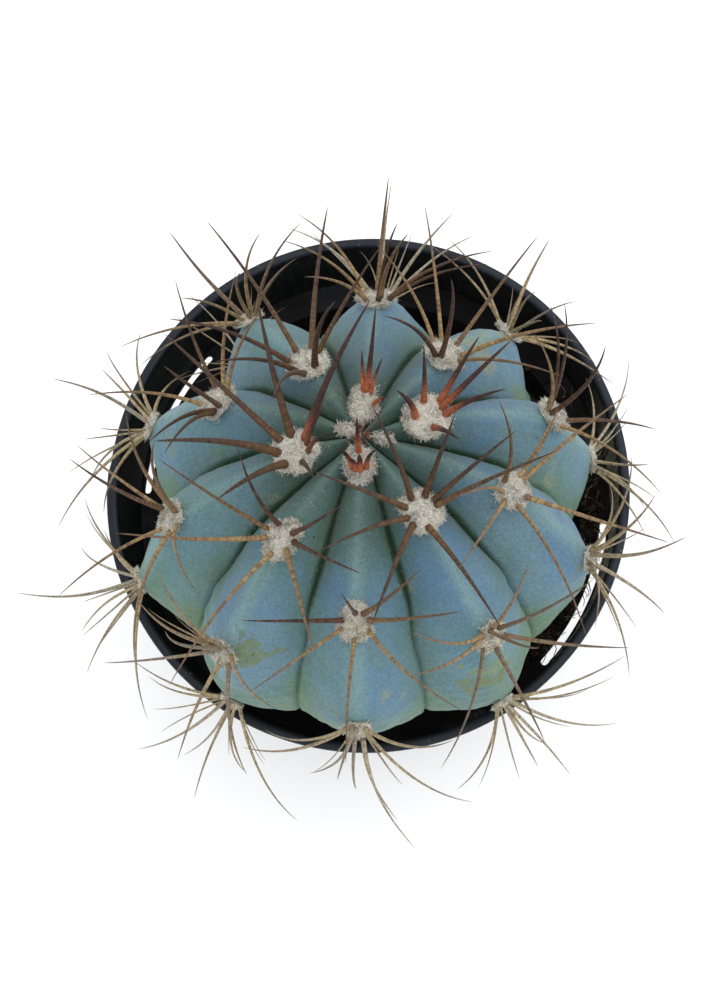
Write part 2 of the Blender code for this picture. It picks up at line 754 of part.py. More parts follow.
def make_areole(areole, paths, parts, seat, materials):
    """A pad and its spines, joined into one solid and trimmed to sit on the rib."""
    wool, spine = materials
    centre = areole.place + areole.normal * PAD_LIFT
    axes = (areole.right, areole.up, areole.normal)
    size = (areole.radius, areole.radius, areole.radius * PAD_HEIGHT)
    pad = new_object(areole.name, pad_mesh(areole.name, centre, axes, size), parts, wool)
    bunch = new_collection("spines_of_" + areole.name)
    for index, path in enumerate(paths):
        name = f"spine_{index + 1}"
        new_object(name, spine_mesh(name, path), bunch, spine)
    boolean(pad, "UNION", bunch)
    boolean(pad, "DIFFERENCE", seat)
    apply_modifiers(pad)
    for obj in list(bunch.objects):
        bpy.data.objects.remove(obj)
    bpy.data.collections.remove(bunch)
    return pad


def make_crown_wool(parts, seat, wool):
    """The tuft of the next areoles, in the middle of the crown between the two youngest."""
    right, back, axis = stem_frame()
    angle = rib_angle(CROWN_WOOL_RIB)
    along = right * math.cos(angle) + back * math.sin(angle)
    axes = (along, axis.cross(along), axis)
    mesh = pad_mesh("crown_wool", stem_point(0, math.pi / 2), axes, CROWN_WOOL)
    tuft = new_object("crown_wool", mesh, parts, wool)
    boolean(tuft, "DIFFERENCE", seat)
    return tuft


def make_areoles(stem, parts, seat):
    materials = (
        new_material("wool", (0.74, 0.72, 0.66), 0.95),
        new_material("spine", (0.30, 0.20, 0.14), 0.55),
    )
    areoles = [Areole(pair, side) for pair in range(PAIRS) for side in (0, 1)]
    areoles = [areole for areole in areoles if areole.place.z > LOWEST_AREOLE]
    room = Room(stem, areoles)
    for areole in areoles:
        paths = []
        rng = random.Random(f"{SEED} {areole.name}")
        for choices in spine_plan(areole, rng):
            path = first_clear(areole, room, choices) or bent_clear(areole, room, rng, *choices[0])
            if path:
                room.add(areole, path)
                paths.append(path)
        make_areole(areole, paths, parts, seat, materials)
    make_crown_wool(parts, seat, materials[0])


def smooth(parts):
    """Round pieces are shaded smooth, with their edges kept."""
    for obj in parts.objects:
        obj.data.shade_smooth()
        obj.data.set_sharp_from_angle(angle=math.radians(35))


def main():
    clear_scene()
    parts = new_collection("potted_turks_cap_cactus")
    cutters = new_collection("cutters")
    make_pot(parts, cutters)
    make_mix(parts, cutters)
    stem = make_stem(parts)
    make_areoles(stem, parts, make_seat_cutter(stem, cutters))
    smooth(parts)


main()
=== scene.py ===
"""Looks of a potted turk's cap cactus, built over its solids. Metres, +Z up, in the solids' frame."""

import random
from math import atan2, cos, hypot, inf, pi, radians, remainder, sin, sqrt, tan
from types import SimpleNamespace

import bmesh
import bpy
import numpy as np
from mathutils import Matrix, Vector
from numpy.linalg import norm


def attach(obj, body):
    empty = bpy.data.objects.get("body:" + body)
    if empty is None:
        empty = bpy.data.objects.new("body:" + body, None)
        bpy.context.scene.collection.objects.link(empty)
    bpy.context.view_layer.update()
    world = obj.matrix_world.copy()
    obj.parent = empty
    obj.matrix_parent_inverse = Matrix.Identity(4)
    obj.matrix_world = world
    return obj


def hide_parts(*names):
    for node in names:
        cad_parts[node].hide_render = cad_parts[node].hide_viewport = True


MM = 0.001
TURN = 2 * pi
SEED = 11

# The camera, solved from the pot's rim, its ledge and the areoles. The image is 722 x 999.
IMAGE_HEIGHT = 999
FOCAL_PIXELS = 2085.06
SENSOR = 24
CAMERA_TARGET = Vector((-1.17, -2.04, 90)) * MM
CAMERA_DISTANCE = 430 * MM
CAMERA_AZIMUTH = radians(22)
CAMERA_ELEVATION = radians(79)
CAMERA_NEAR = 10 * MM

# The pot, as in the solids, with rounder edges.
RIM_RADIUS = 54 * MM
POT_HEIGHT = 90 * MM
BASE_RADIUS = 38 * MM
WALL = 1.2 * MM
FLOOR = 1.6 * MM
FOOT_BEVEL = 1.5 * MM
LIP_WIDTH = 2.1 * MM
LIP_THICKNESS = 1.4 * MM
LEDGE = 69 * MM
LEDGE_THICKNESS = 1.4 * MM
COLLAR_FOOT = 50.7 * MM
COLLAR_TOP = RIM_RADIUS - LIP_WIDTH
THROAT = 45.2 * MM
POT_STEPS = 160
SLOT_OUTER = 50.3 * MM
SLOT_WIDTH = 1.5 * MM
SLOT_ARC = radians(39.5)
SLOT_MIDDLE = radians(156)
SLOT_COUNT = 2
SLOT_STEPS = 24
SLOT_END_STEPS = 8
SLOT_CUT = 6 * MM
SEAM_START = radians(175)
SEAM_END = radians(201)
SEAM_RISE = 0.35 * MM
DRAIN_RADIUS = 3.5 * MM
DRAIN_CIRCLE = 26 * MM
DRAIN_COUNT = 4
SHARP = radians(40)
MERGE = 0.02 * MM

# The potting mix, and the root neck that goes into it.
MIX_LEVEL = 60 * MM
MIX_RADIUS = 43.5 * MM
ROOT_RADIUS = 12.5 * MM
ROOT_CENTRE = np.array((-1.0, -15.5, 0)) * MM
ROOT_DEPTH = 6 * MM
ROOT_COLLAR = 2 * MM
ROOT_TAPER = 0.5 * MM

# The mix is banked up against the wall at the right, and crumbs and root fibres lie on the ledge above it.
BANK_HEIGHT = 6.5 * MM
BANK_FROM = 26 * MM
BANK_WIDTH = 15 * MM
BANK_TURN = radians(-25)
GRAINS = 1500
FLAT_GRAINS = 700
LEDGE_GRAINS = 420
LEDGE_SPILL = radians(-14)
LEDGE_SPREAD = radians(20)

# Root fibres on the mix and on the ledge. A step and the radii are in mm, and near and far are the
# distances from the pot's axis that a fibre has to stay between.
MIX_FIBRES = SimpleNamespace(
    count=40, steps=14, step=0.8, bend=0.35, climb=0.18, radii=(0.22, 0.08), tones=(0.6, 1.4),
    ground=MIX_LEVEL + 1.2 * MM, banked=1, slack=2 * MM, near=0, far=MIX_RADIUS,
)
LEDGE_FIBRES = SimpleNamespace(
    count=170, steps=9, step=0.6, bend=0.5, climb=0.12, radii=(0.13, 0.06), tones=(0.6, 1.8),
    ground=LEDGE + 0.3 * MM, banked=0, slack=inf, near=THROAT, far=COLLAR_FOOT - 0.3 * MM,
)

# The stem, as in the solids: ten ribs round a leaning axis.
RIBS = 10
STEM_CENTRE = np.array((0.7, -6.9, 100)) * MM
LEAN_RIGHT = radians(2.4)
LEAN_BACK = radians(14.6)
STEM_RADIUS = 46 * MM
CROWN_HEIGHT = 37 * MM
CROWN_POWER = 2.12
CROWN_DIP = 1.2 * MM
CROWN_DIP_WIDTH = 9 * MM
FOOT_HEIGHT = 37 * MM
FOOT_POWER = 1.85
GROOVE = 9.5 * MM
GROOVE_SHAPE = 1.3
GROOVE_FADE = 0.5
GROOVE_SHALLOWING = 0.35
GROOVE_TURN = radians(20)
SWELL = 0.7 * MM
FIRST_RIB = radians(88.8)
RIB_NUDGE = np.radians((-2, -3, -1, 2, 1, 0, 1, 1, 0, 0))
LOWEST_LATITUDE = radians(-65)
RIB_SHAPE = ((-20, 15, 60, 80), (1.0, 1.05, 1.35, 1.6))
CREST_SOFT = 0.12
GROOVE_SWAY = 0.014
SWAY_LATITUDES = (8, 38)
CREASE_DEPTH = 0.6 * MM
CREASE_WIDTH = 0.035
EDGE_HEIGHT = 0.12 * MM
EDGE_WIDTH = 0.045
LUMPS = ((11 * MM, 0.3 * MM), (3.2 * MM, 0.1 * MM))
WAVES = 14
SKIN_SIDES = 44
SKIN_RINGS = 168
SKIN_TOP = radians(89.2)
NECK_LATITUDE = -60

# The areoles, as in the solids.
FIRST_LATITUDE = 83.0
PAIR_STEP = 7.7
PAIRS = 14
PAD_YOUNGEST = 4.3 * MM
PAD_LARGEST = 5.4 * MM
PAD_SHRINK = 0.2 * MM
PAD_SMALLEST = 3.4 * MM
PAD_LIFT = 0.3 * MM

# The felt's shares of a pad's radius across the rib, along it and outward, for some of the pairs.
FELT_PAIRS = (0, 1, 2, 13)
FELT_ACROSS = (0.64, 0.76, 0.74, 0.62)
FELT_ALONG = (0.9, 0.86, 0.8, 0.72)
FELT_HEIGHT = (0.4, 0.36, 0.28, 0.17)
FELT_CLUMPS = 70
FELT_REACH, FELT_EDGE, FELT_CLUMP, FELT_RELIEF = 0.93, 0.13, 0.12, 0.04
HAIRS = 1750
HAIR_LENGTH = (0.35 * MM, 1.0 * MM)
HAIR_WIDTH = 0.048 * MM
HAIR_LOWEST = -0.12
HAIR_SPREAD = 0.4
HAIR_BEND = 0.28
HAIR_CURL = 0.35
HAIR_FACES = ((2, 1, 0), (0, 1, 4, 3), (1, 2, 5, 4), (2, 0, 3, 5), (3, 4, 6), (4, 5, 6), (5, 3, 6))
# The wool shader paints shade where a hair's corners are near its root, at 0.
HAIR_ALONG = (0, 0, 0, 0.6, 0.6, 0.6, 1)

# A needle's tip in the solids has three long edges, from a small ring.
TIP_EDGE = 2.2 * MM
TIP_RING = 1.2 * MM

# The round spines over the needles.
SPINE_POINTS = 25
SPINE_SIDES = 9
SPINE_SUNK = 1.2 * MM
SPINE_YOUNG = 0.64 * MM
SPINE_GROWN = 0.55 * MM
SPINE_FINEST = 0.02 * MM
SPINE_FULL = 32 * MM
SWEEP, CURL = 0.05, 0.06
CENTRAL_RISE = 0.74

# The thin worn spines that an old areole has between its needles.
THIN_FROM_PAIR = 8
THIN_WANTED = 11
THIN_TRIES = 80
THIN_LENGTH = (11 * MM, 20 * MM)
THIN_RISE = (radians(22), radians(55))
THIN_APART = radians(13)
THIN_SHARE = 0.62
THIN_ROOT = 0.4
THIN_BOW = 0.04
CLEARANCE = 1 * MM

# The youngest wool, in the crown's dip: each tuft's place along a line across the crown, and half lengths.
CROWN_WOOL_RIB = 2.9
CROWN_TUFTS = ((-2.9 * MM, 2.3 * MM, 1.1 * MM), (4.4 * MM, 2.0 * MM, 0.9 * MM))
CROWN_TUFT_HEIGHT = 0.8 * MM
CROWN_HAIRS = 420
CROWN_BRISTLES = 70

# The light and the floor.
SKY_COLOUR, SKY_STRENGTH = (0.985, 0.995, 1.0, 1), 1.25
KEY_PLACE, KEY_SIZE, KEY_POWER = (0.25, 0.2, 0.9), 0.8, 3
GROUND_SIZE, GROUND_DROP, GROUND_COLOUR = 3, 0.2 * MM, (0.95, 0.95, 0.95, 1)

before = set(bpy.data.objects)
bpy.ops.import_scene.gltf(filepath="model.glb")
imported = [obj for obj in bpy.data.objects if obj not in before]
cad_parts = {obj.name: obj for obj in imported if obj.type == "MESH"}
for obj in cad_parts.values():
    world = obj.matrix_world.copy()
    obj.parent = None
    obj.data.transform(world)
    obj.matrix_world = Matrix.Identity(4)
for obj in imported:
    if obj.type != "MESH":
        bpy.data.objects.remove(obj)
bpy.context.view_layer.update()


def tint(red, green, blue):
    """A colour given as it shows on a screen, from 0 to 255, in the linear values that shaders use."""
    linear = [((c / 255 + 0.055) / 1.055) ** 2.4 if c > 10 else c / 255 / 12.92 for c in (red, green, blue)]
    return (*linear, 1)


class Value:
    """A result in a material's nodes. Numbers can be added, subtracted, multiplied and stepped."""

    def __init__(self, graph, socket):
        self.graph = graph
        self.socket = socket

    def __add__(self, other):
        return self.graph.math("ADD", self, other)

    def __sub__(self, other):
        return self.graph.math("SUBTRACT", self, other)

    def __mul__(self, other):
        return self.graph.math("MULTIPLY", self, other)

    def step(self, low, high, bottom=0.0, top=1.0):
        """A smooth step from bottom, where the value is low, to top, where it is high."""
        inputs = enumerate((self, low, high, bottom, top))
        return self.graph.add("MapRange", inputs, interpolation_type="SMOOTHSTEP")


class Graph:
    """A material's nodes. Most calls add one and return its result."""

    def __init__(self, name, settings):
        self.material = bpy.data.materials.new(name)
        self.material.use_nodes = True
        self.nodes = self.material.node_tree.nodes
        self.links = self.material.node_tree.links
        self.shader = self.nodes["Principled BSDF"]
        for socket, value in settings.items():
            self.shader.inputs[socket].default_value = value

    def put(self, value, socket):
        if isinstance(value, Value):
            self.links.new(value.socket, socket)
        else:
            socket.default_value = value

    def add(self, kind, inputs=(), output=0, **settings):
        """A node with its inputs, by name or number, and its settings. Returns one output."""
        node = self.nodes.new("ShaderNode" + kind)
        for name, value in settings.items():
            setattr(node, name, value)
        for key, value in dict(inputs).items():
            self.put(value, node.inputs[key])
        return Value(self, node.outputs[output])

    def place(self):
        return self.add("TexCoord", output="Object")

    def attribute(self, name):
        return self.add("Attribute", output="Fac", attribute_name=name)

    def math(self, operation, first, second=0.0):
        return self.add("Math", {0: first, 1: second}, operation=operation)

    def combine(self, x, y):
        return self.add("CombineXYZ", {"X": x, "Y": y})

    def split(self, vector):
        return [self.add("SeparateXYZ", {"Vector": vector}, output=name) for name in "XYZ"]

    def noise(self, vector, scale, detail=2.0, roughness=0.5):
        """Noise about 0.5. Its scale is in features a metre where the vector is a place."""
        inputs = {"Vector": vector, "Scale": scale, "Detail": detail, "Roughness": roughness}
        return self.add("TexNoise", inputs, output="Fac")

    def cells(self, vector, scale):
        """How far scattered points are, in shares of the space between them."""
        return self.add("TexVoronoi", {"Vector": vector, "Scale": scale}, output="Distance")

    def mix(self, factor, first, second):
        return self.add("Mix", {0: factor, 6: first, 7: second}, output=2, data_type="RGBA")

    def shade(self, colour, value):
        """The colour made darker or lighter by a value."""
        return self.add("VectorMath", {0: colour, "Scale": value}, operation="SCALE")

    def bump(self, height, distance, strength):
        inputs = {"Height": height, "Distance": distance, "Strength": strength}
        self.put(self.add("Bump", inputs), self.shader.inputs["Normal"])

    def finish(self, colour, roughness=None):
        self.put(colour, self.shader.inputs["Base Color"])
        if roughness is not None:
            self.put(roughness, self.shader.inputs["Roughness"])
        return self.material


# Materials

SKIN_BLUE = tint(84, 116, 140)
SKIN_PALE = tint(96, 124, 136)
SKIN_TEAL = tint(84, 118, 120)
CREST_PALE_AND_LIT = tint(112, 140, 142)
SKIN_GREEN = tint(88, 114, 92)
CROWN_GREEN = tint(77, 98, 87)
# Dark green painted as the shade down each groove.
GROOVE_SHADE_GREEN = tint(42, 68, 46)
CORK_TAN = tint(134, 134, 104)
FOOT_BROWN = tint(128, 116, 88)
BRUISE_GREEN = tint(106, 122, 88)
SCAR_OLIVE = tint(100, 112, 78)
SPECK_BROWN = tint(60, 48, 50)
DUST_GREY = tint(156, 166, 158)
WOOL_WHITE, WOOL_CREAM, WOOL_SHADE = tint(230, 226, 215), tint(216, 207, 182), tint(138, 128, 108)
PLASTIC, SCUFFED = tint(20, 22, 25), tint(44, 48, 54)
LIME, DUST, DIRT = tint(186, 180, 160), tint(110, 104, 94), tint(20, 16, 13)
SOIL_DARK, SOIL_BROWN, FIBRE_TAN = tint(23, 19, 16), tint(58, 48, 38), tint(146, 124, 96)

# Corky scars: rib, latitude in degrees, and radius in mm. How far a place is from them is in mm too.
SCARS = ((5.86, 22, 2.6), (4.12, 8, 2.6), (0.75, 58, 1.2), (8.1, 40, 1.6))
SCAR_RAGGED = 26
MM_A_RIB = 26
MM_A_DEGREE = 0.8
FAR = 1000

# A spine's rings are this many mm apart. The lime is thickest this far in front of the pot's right.
RING_STEP = 0.9
LIME_TURN = radians(25)


def skin_patterns(g):
    """The places and patterns that the skin's colours are mixed by. Latitudes are in degrees."""
    skin = SimpleNamespace(place=g.place())
    for name in ("latitude", "rib", "valley"):
        setattr(skin, name, g.attribute(name))
    skin.along = g.combine(skin.rib * 9, skin.latitude * 0.035)
    skin.cloud = g.noise(skin.place, 48, 3, 0.55)
    skin.patch = g.noise(skin.place, 34)
    skin.streak = g.noise(skin.along, 1, 3, 0.6)
    return skin


def skin_flesh(g, skin):
    """Blue flanks with paler crests, partly their own colour and partly painted light, greener in patches,
    by the grooves, at the foot and on the crown.
    """
    colour = g.mix(skin.cloud.step(0.4, 0.62), SKIN_BLUE, SKIN_PALE)
    colour = g.mix(skin.patch.step(0.46, 0.66, 0, 0.9), colour, SKIN_TEAL)
    # Paler crests: partly the ribs' own colour, partly painted light where a crest stands out into the
    # light.
    colour = g.mix(skin.valley.step(0.26, 0, 0, 0.75), colour, CREST_PALE_AND_LIT)
    foot = skin.latitude.step(20, -6) * skin.latitude.step(-40, -8, 0.3, 1)
    greener = foot * 0.65 + skin.streak.step(0.5, 0.7, 0, 0.45) + skin.valley.step(0.5, 0.95, 0, 0.7)
    colour = g.mix(greener * skin.patch.step(0.36, 0.6, 0.25, 1), colour, SKIN_GREEN)
    crown = skin.latitude + (skin.cloud - 0.5) * 36
    return g.mix(crown.step(48, 84, 0, 0.95), colour, CROWN_GREEN)


def scarred(g, skin):
    """A mask that is up to 0.9 on the corky scars, with ragged edges and a mottled inside."""
    nearest = FAR
    for scar_rib, scar_latitude, size in SCARS:
        beside = (skin.rib - scar_rib) * MM_A_RIB
        above = (skin.latitude - scar_latitude) * MM_A_DEGREE
        away = g.math("SQRT", beside * beside + above * above)
        nearest = g.math("MINIMUM", nearest, away - size)
    ragged = (g.noise(skin.place, 230, 4, 0.6) - 0.5) * SCAR_RAGGED
    return (nearest + ragged).step(1, 0) * g.noise(skin.place, 700, 3, 0.6).step(0.35, 0.6, 0.55, 0.9)


def skin_marks(g, skin, colour):
    """Cork, the green ring and woody foot below it, bruises, scars and a painted shade line down each
    groove.
    """
    colour = g.mix(g.noise(skin.place, 60, 5, 0.7).step(0.6, 0.68, 0, 0.5), colour, CORK_TAN)
    ring = skin.latitude.step(10, -6, 0, 0.65) * skin.latitude.step(-40, -8, 0.45, 1)
    colour = g.mix(ring, colour, SKIN_GREEN)
    woody = skin.latitude + (skin.streak - 0.5) * 60
    colour = g.mix(woody.step(-22, -46, 0, 0.8), colour, FOOT_BROWN)
    bruise = g.noise(skin.place, 80, 4, 0.6).step(0.61, 0.625) * skin.latitude.step(36, 18)
    colour = g.mix(bruise * 0.7, colour, BRUISE_GREEN)
    colour = g.mix(scarred(g, skin), colour, SCAR_OLIVE)
    # Painted shade: a dark green line down each groove, narrower low on the stem.
    edge = skin.valley - skin.latitude.step(62, 24, 0, 0.12)
    return g.mix(edge.step(0.84, 0.95, 0, 0.95), colour, GROOVE_SHADE_GREEN)


def skin_dust(g, skin, colour):
    """Brown specks, and pale dust on the crown, in the grooves near it and in patches."""
    specks = g.cells(skin.place, 300).step(0.1, 0.07) * skin.cloud.step(0.5, 0.56)
    colour = g.mix(specks * 0.7, colour, SPECK_BROWN)
    dusty = skin.valley.step(0.6, 0.9) * skin.latitude.step(40, 60)
    dusty = g.math("MAXIMUM", dusty, skin.patch.step(0.5, 0.4, 0, 0.5))
    dusty = g.math("MAXIMUM", dusty, skin.latitude.step(52, 70, 0, 0.8))
    dust = g.cells(skin.place, 1150).step(0.24, 0.1) * dusty
    return g.mix(dust * g.noise(skin.place, 420, 3, 0.7).step(0.48, 0.6) * 0.7, colour, DUST_GREY)


def skin_material():
    """Waxy skin with its marks and dust, a fine grain, and painted shade that darkens it towards the crown.
    """
    g = Graph("cactus_skin", {"Specular IOR Level": 0.2, "Sheen Weight": 0.08, "Sheen Roughness": 0.4})
    skin = skin_patterns(g)
    colour = skin_dust(g, skin, skin_marks(g, skin, skin_flesh(g, skin)))
    grain = g.noise(skin.place, 1500, 2, 0.7)
    pores = g.noise(skin.place, 3200, 1)
    fine = grain.step(0.2, 0.8, 0.84, 1.16) * pores.step(0.2, 0.8, 0.9, 1.1)
    g.bump(grain + g.noise(skin.along, 3, 2) * 1.5, 0.12 * MM, 0.5)
    # Painted shade: darker towards the crown and a little lighter on the sides, as the light falls; the
    # crown's own green is mixed in before.
    colour = g.shade(colour, fine * skin.latitude.step(5, 78, 1.04, 0.8))
    return g.finish(colour, skin.cloud.step(0.3, 0.7, 0.55, 0.7))


def wool_material():
    """Felted wool: pale when young and creamy with age, with painted shade deep between its hairs and
    painted light on the older pads.
    """
    g = Graph("wool", {"Specular IOR Level": 0.1, "Sheen Weight": 0.15, "Roughness": 0.95})
    place, age = g.place(), g.attribute("age")
    tufts = g.noise(place, 300, 3).step(0.4, 0.7)
    colour = g.mix(tufts * age.step(0, 0.7, 0.4, 1), WOOL_WHITE, WOOL_CREAM)
    # Painted shade: the felt's mound and the hairs' roots darker, deep between the hairs.
    colour = g.mix(g.attribute("along").step(0.5, 0, 0, 0.6), colour, WOOL_SHADE)
    grain = g.noise(place, 2600, 3, 0.7)
    g.bump(grain, 0.4 * MM, 0.8)
    # Painted light: older pads, which face sideways, are made lighter; the random tone varies the hairs.
    tone = g.attribute("tone").step(0, 1, 0.42, 1.22) * age.step(0.25, 0.9, 1, 1.3)
    return g.finish(g.shade(colour, tone * grain.step(0.3, 0.7, 0.85, 1.1)))


def spine_colour(g, along, age, tone, length):
    """Red and dark when newest, tan with russet stretches when grown, straw and grey when old."""
    newest = g.mix(length.step(2.8, 8), tint(158, 90, 62), tint(58, 38, 36))
    dark = g.mix(along.step(0, 0.6), tint(78, 54, 39), tint(52, 38, 33))
    light = g.mix(along.step(0.05, 0.45), tint(144, 121, 84), tint(122, 101, 73))
    light = g.mix(along.step(0.4, 1), light, tint(96, 76, 60))
    stretches = g.noise(g.combine(length * 0.8, tone * 91), 1, 3, 0.7)
    grown = g.mix(tone.step(0.35, 0.95), light, dark)
    grown = g.mix(stretches.step(0.48, 0.62, 0, 0.6), grown, tint(94, 66, 55))
    old = g.mix(along.step(0.2, 0.95), tint(152, 138, 108), tint(122, 110, 96))
    old = g.mix(stretches.step(0.5, 0.62, 0, 0.55), old, tint(112, 92, 76))
    old = g.mix(tone.step(0.55, 0.85, 0, 0.6), old, tint(146, 140, 128))
    colour = g.mix(age.step(0.085, 0.14), newest, dark)
    colour = g.mix(age.step(0.115, 0.25), colour, grown)
    return g.mix(age.step(0.42, 0.8), colour, old)


def spine_material():
    """Horn with fine rings and uneven bands. Lengths are in mm."""
    g = Graph("spine", {"Specular IOR Level": 0.16, "Roughness": 0.6})
    along, age, tone, length = (g.attribute(name) for name in ("along", "age", "tone", "length"))
    bands = g.noise(g.combine(length * 2, tone * 57), 1, 4, 0.75)
    rings = g.math("SINE", length * (TURN / RING_STEP))
    shade = rings * 0.03 + bands.step(0.3, 0.7, 0.7, 1.3)
    shade = shade * g.noise(g.place(), 1500, 3, 0.7).step(0.3, 0.7, 0.72, 1.28)
    g.bump(rings, 0.04 * MM, 0.5)
    return g.finish(g.shade(spine_colour(g, along, age, tone, length), shade))


def lime_runs(g, turn, height, inside):
    """A mask of the lime that has run down the pot's inside, most of it on the right."""
    runs = g.noise(g.combine(turn * 110, height * 60), 1, 3, 0.6).step(0.34, 0.62)
    right = g.math("COSINE", turn + LIME_TURN).step(0.6, 0.9, 0.03, 1)
    return runs * (right * height.step(POT_HEIGHT - 0.6 * MM, POT_HEIGHT - 2.5 * MM) * inside)


def pot_material():
    """Black moulded plastic with a soft sheen, scuffs round it, lime, dust, and dirt low on its inside."""
    g = Graph("pot_plastic", {"Specular IOR Level": 0.3, "Specular Tint": tint(222, 233, 255)})
    place, inside = g.place(), g.attribute("inside")
    x, y, height = g.split(place)
    turn = g.math("ARCTAN2", y, x)
    radius = g.math("SQRT", x * x + y * y)
    scuff = g.noise(g.combine(turn * 3, (height - radius) * 900), 1, 4, 0.65)
    cloud = g.noise(place, 60, 3)
    specks = g.noise(place, 1400, 2).step(0.64, 0.7)
    dirt = height.step(LEDGE + 3 * MM, LEDGE + 0.2 * MM) * inside * cloud.step(0.35, 0.5, 0.6, 1)
    colour = g.mix(scuff.step(0.5, 0.75, 0, 0.2), PLASTIC, SCUFFED)
    colour = g.mix(lime_runs(g, turn, height, inside), colour, LIME)
    colour = g.mix(specks * cloud.step(0.5, 0.62, 0, 0.5), colour, DUST)
    g.bump(scuff + g.noise(place, 800, 2), 0.08 * MM, 0.2)
    return g.finish(g.mix(dirt, colour, DIRT), scuff.step(0.3, 0.7, 0.4, 0.52) + dirt * 0.4)


def soil_material():
    """Dark damp grains, each with a brown of its own, and paler root fibres."""
    g = Graph("potting_mix", {"Roughness": 0.93, "Specular IOR Level": 0.2})
    place, tone = g.place(), g.attribute("tone")
    colour = g.mix(g.math("MINIMUM", tone, 1), SOIL_DARK, SOIL_BROWN)
    colour = g.mix(tone.step(1, 1.8), colour, FIBRE_TAN)
    g.bump(g.noise(place, 1500, 3), 0.2 * MM, 0.8)
    return g.finish(g.shade(colour, g.noise(place, 900, 3).step(0.3, 0.7, 0.7, 1.25)))


# Shapes


def stem_frame():
    """The stem's own directions: right, back and up its leaning axis."""
    axis = np.array((tan(LEAN_RIGHT), tan(LEAN_BACK), 1))
    axis /= norm(axis)
    right = np.array((1.0, 0, 0)) - axis * axis[0]
    right /= norm(right)
    return right, np.cross(axis, right), axis


RIGHT, BACK, AXIS = stem_frame()


def rib_angle(rib):
    """The angle round the axis of a rib, whose number may be a fraction between two ribs."""
    before = np.floor(rib).astype(int)
    share = rib - before
    nudge = RIB_NUDGE[before % RIBS] * (1 - share) + RIB_NUDGE[(before + 1) % RIBS] * share
    return FIRST_RIB - rib * TURN / RIBS + nudge


def outward_from_axis(rib):
    """The direction from the stem's axis towards a rib."""
    angle = float(rib_angle(np.array([rib]))[0])
    return RIGHT * cos(angle) + BACK * sin(angle)


def crest_profile(latitude):
    """Radius and height of a rib's crest, from the stem's centre."""
    upper = latitude > 0
    power = np.where(upper, CROWN_POWER, FOOT_POWER)
    size = np.where(upper, CROWN_HEIGHT, FOOT_HEIGHT)
    radius = STEM_RADIUS * np.abs(np.cos(latitude)) ** (2 / power)
    rise = size * np.abs(np.sin(latitude)) ** (2 / power)
    dip = CROWN_DIP * np.exp(-((radius / CROWN_DIP_WIDTH) ** 2))
    return radius, np.where(upper, rise - dip, -rise)


def crest_normal(latitude):
    """Outward direction (radial, axial) of the crest's profile."""
    step = 0.01
    radius_low, height_low = crest_profile(latitude - step)
    radius_high, height_high = crest_profile(latitude + step)
    radial, axial = height_high - height_low, radius_low - radius_high
    size = np.hypot(radial, axial)
    return radial / size, axial / size


def rib_of(pair, side):
    """The rib of an areole: each pair sits three ribs on from the pair before it."""
    return (side * RIBS // 2 - 3 * pair) % RIBS


def first_latitudes():
    """Latitude in degrees of the youngest areole on each rib."""
    found = np.zeros(RIBS)
    for pair in range(RIBS // 2):
        for side in (0, 1):
            found[rib_of(pair, side)] = FIRST_LATITUDE - PAIR_STEP * pair
    return found


FIRST_ON_RIB = first_latitudes()


def waves(points, size, seed):
    """A smooth seeded relief between about -1 and 1, with features of about the given size."""
    rng = np.random.default_rng(seed)
    total = np.zeros(len(points))
    for _ in range(WAVES):
        way = rng.normal(size=3)
        way *= TURN / size / norm(way) * rng.uniform(0.6, 1.5)
        total += np.sin(points @ way + rng.uniform(0, TURN))
    return total / sqrt(WAVES)


def flank(across, shape):
    """How deep the surface lies part of the way across to the groove, with the crest softly rounded."""
    soft = np.hypot(across, CREST_SOFT) - CREST_SOFT
    return (soft / (hypot(1, CREST_SOFT) - CREST_SOFT)) ** shape


def in_groove(rib):
    """How far across to the groove a rib number is: 0 on a crest and 1 in a groove."""
    return 2 * np.abs(rib - np.round(rib))


def wave_down(rib, latitude):
    """The slow wave down a rib, 1 at its areoles and -1 midway between them."""
    period = PAIR_STEP * RIBS / 2
    return np.cos(TURN * (np.degrees(latitude) - FIRST_ON_RIB[rib.astype(int) % RIBS]) / period)


def swayed_angle(rib, latitude, fade):
    """The angle round the axis, with each groove swaying away from the areoles beside it."""
    here = np.round(rib)
    side = np.sign(rib - here)
    sway = GROOVE_SWAY * (wave_down(here, latitude) - wave_down(here + side, latitude)) * fade
    sway = sway * np.interp(np.degrees(latitude), SWAY_LATITUDES, (0, 1))
    return rib_angle(rib + side * in_groove(rib) ** 2 * sway)


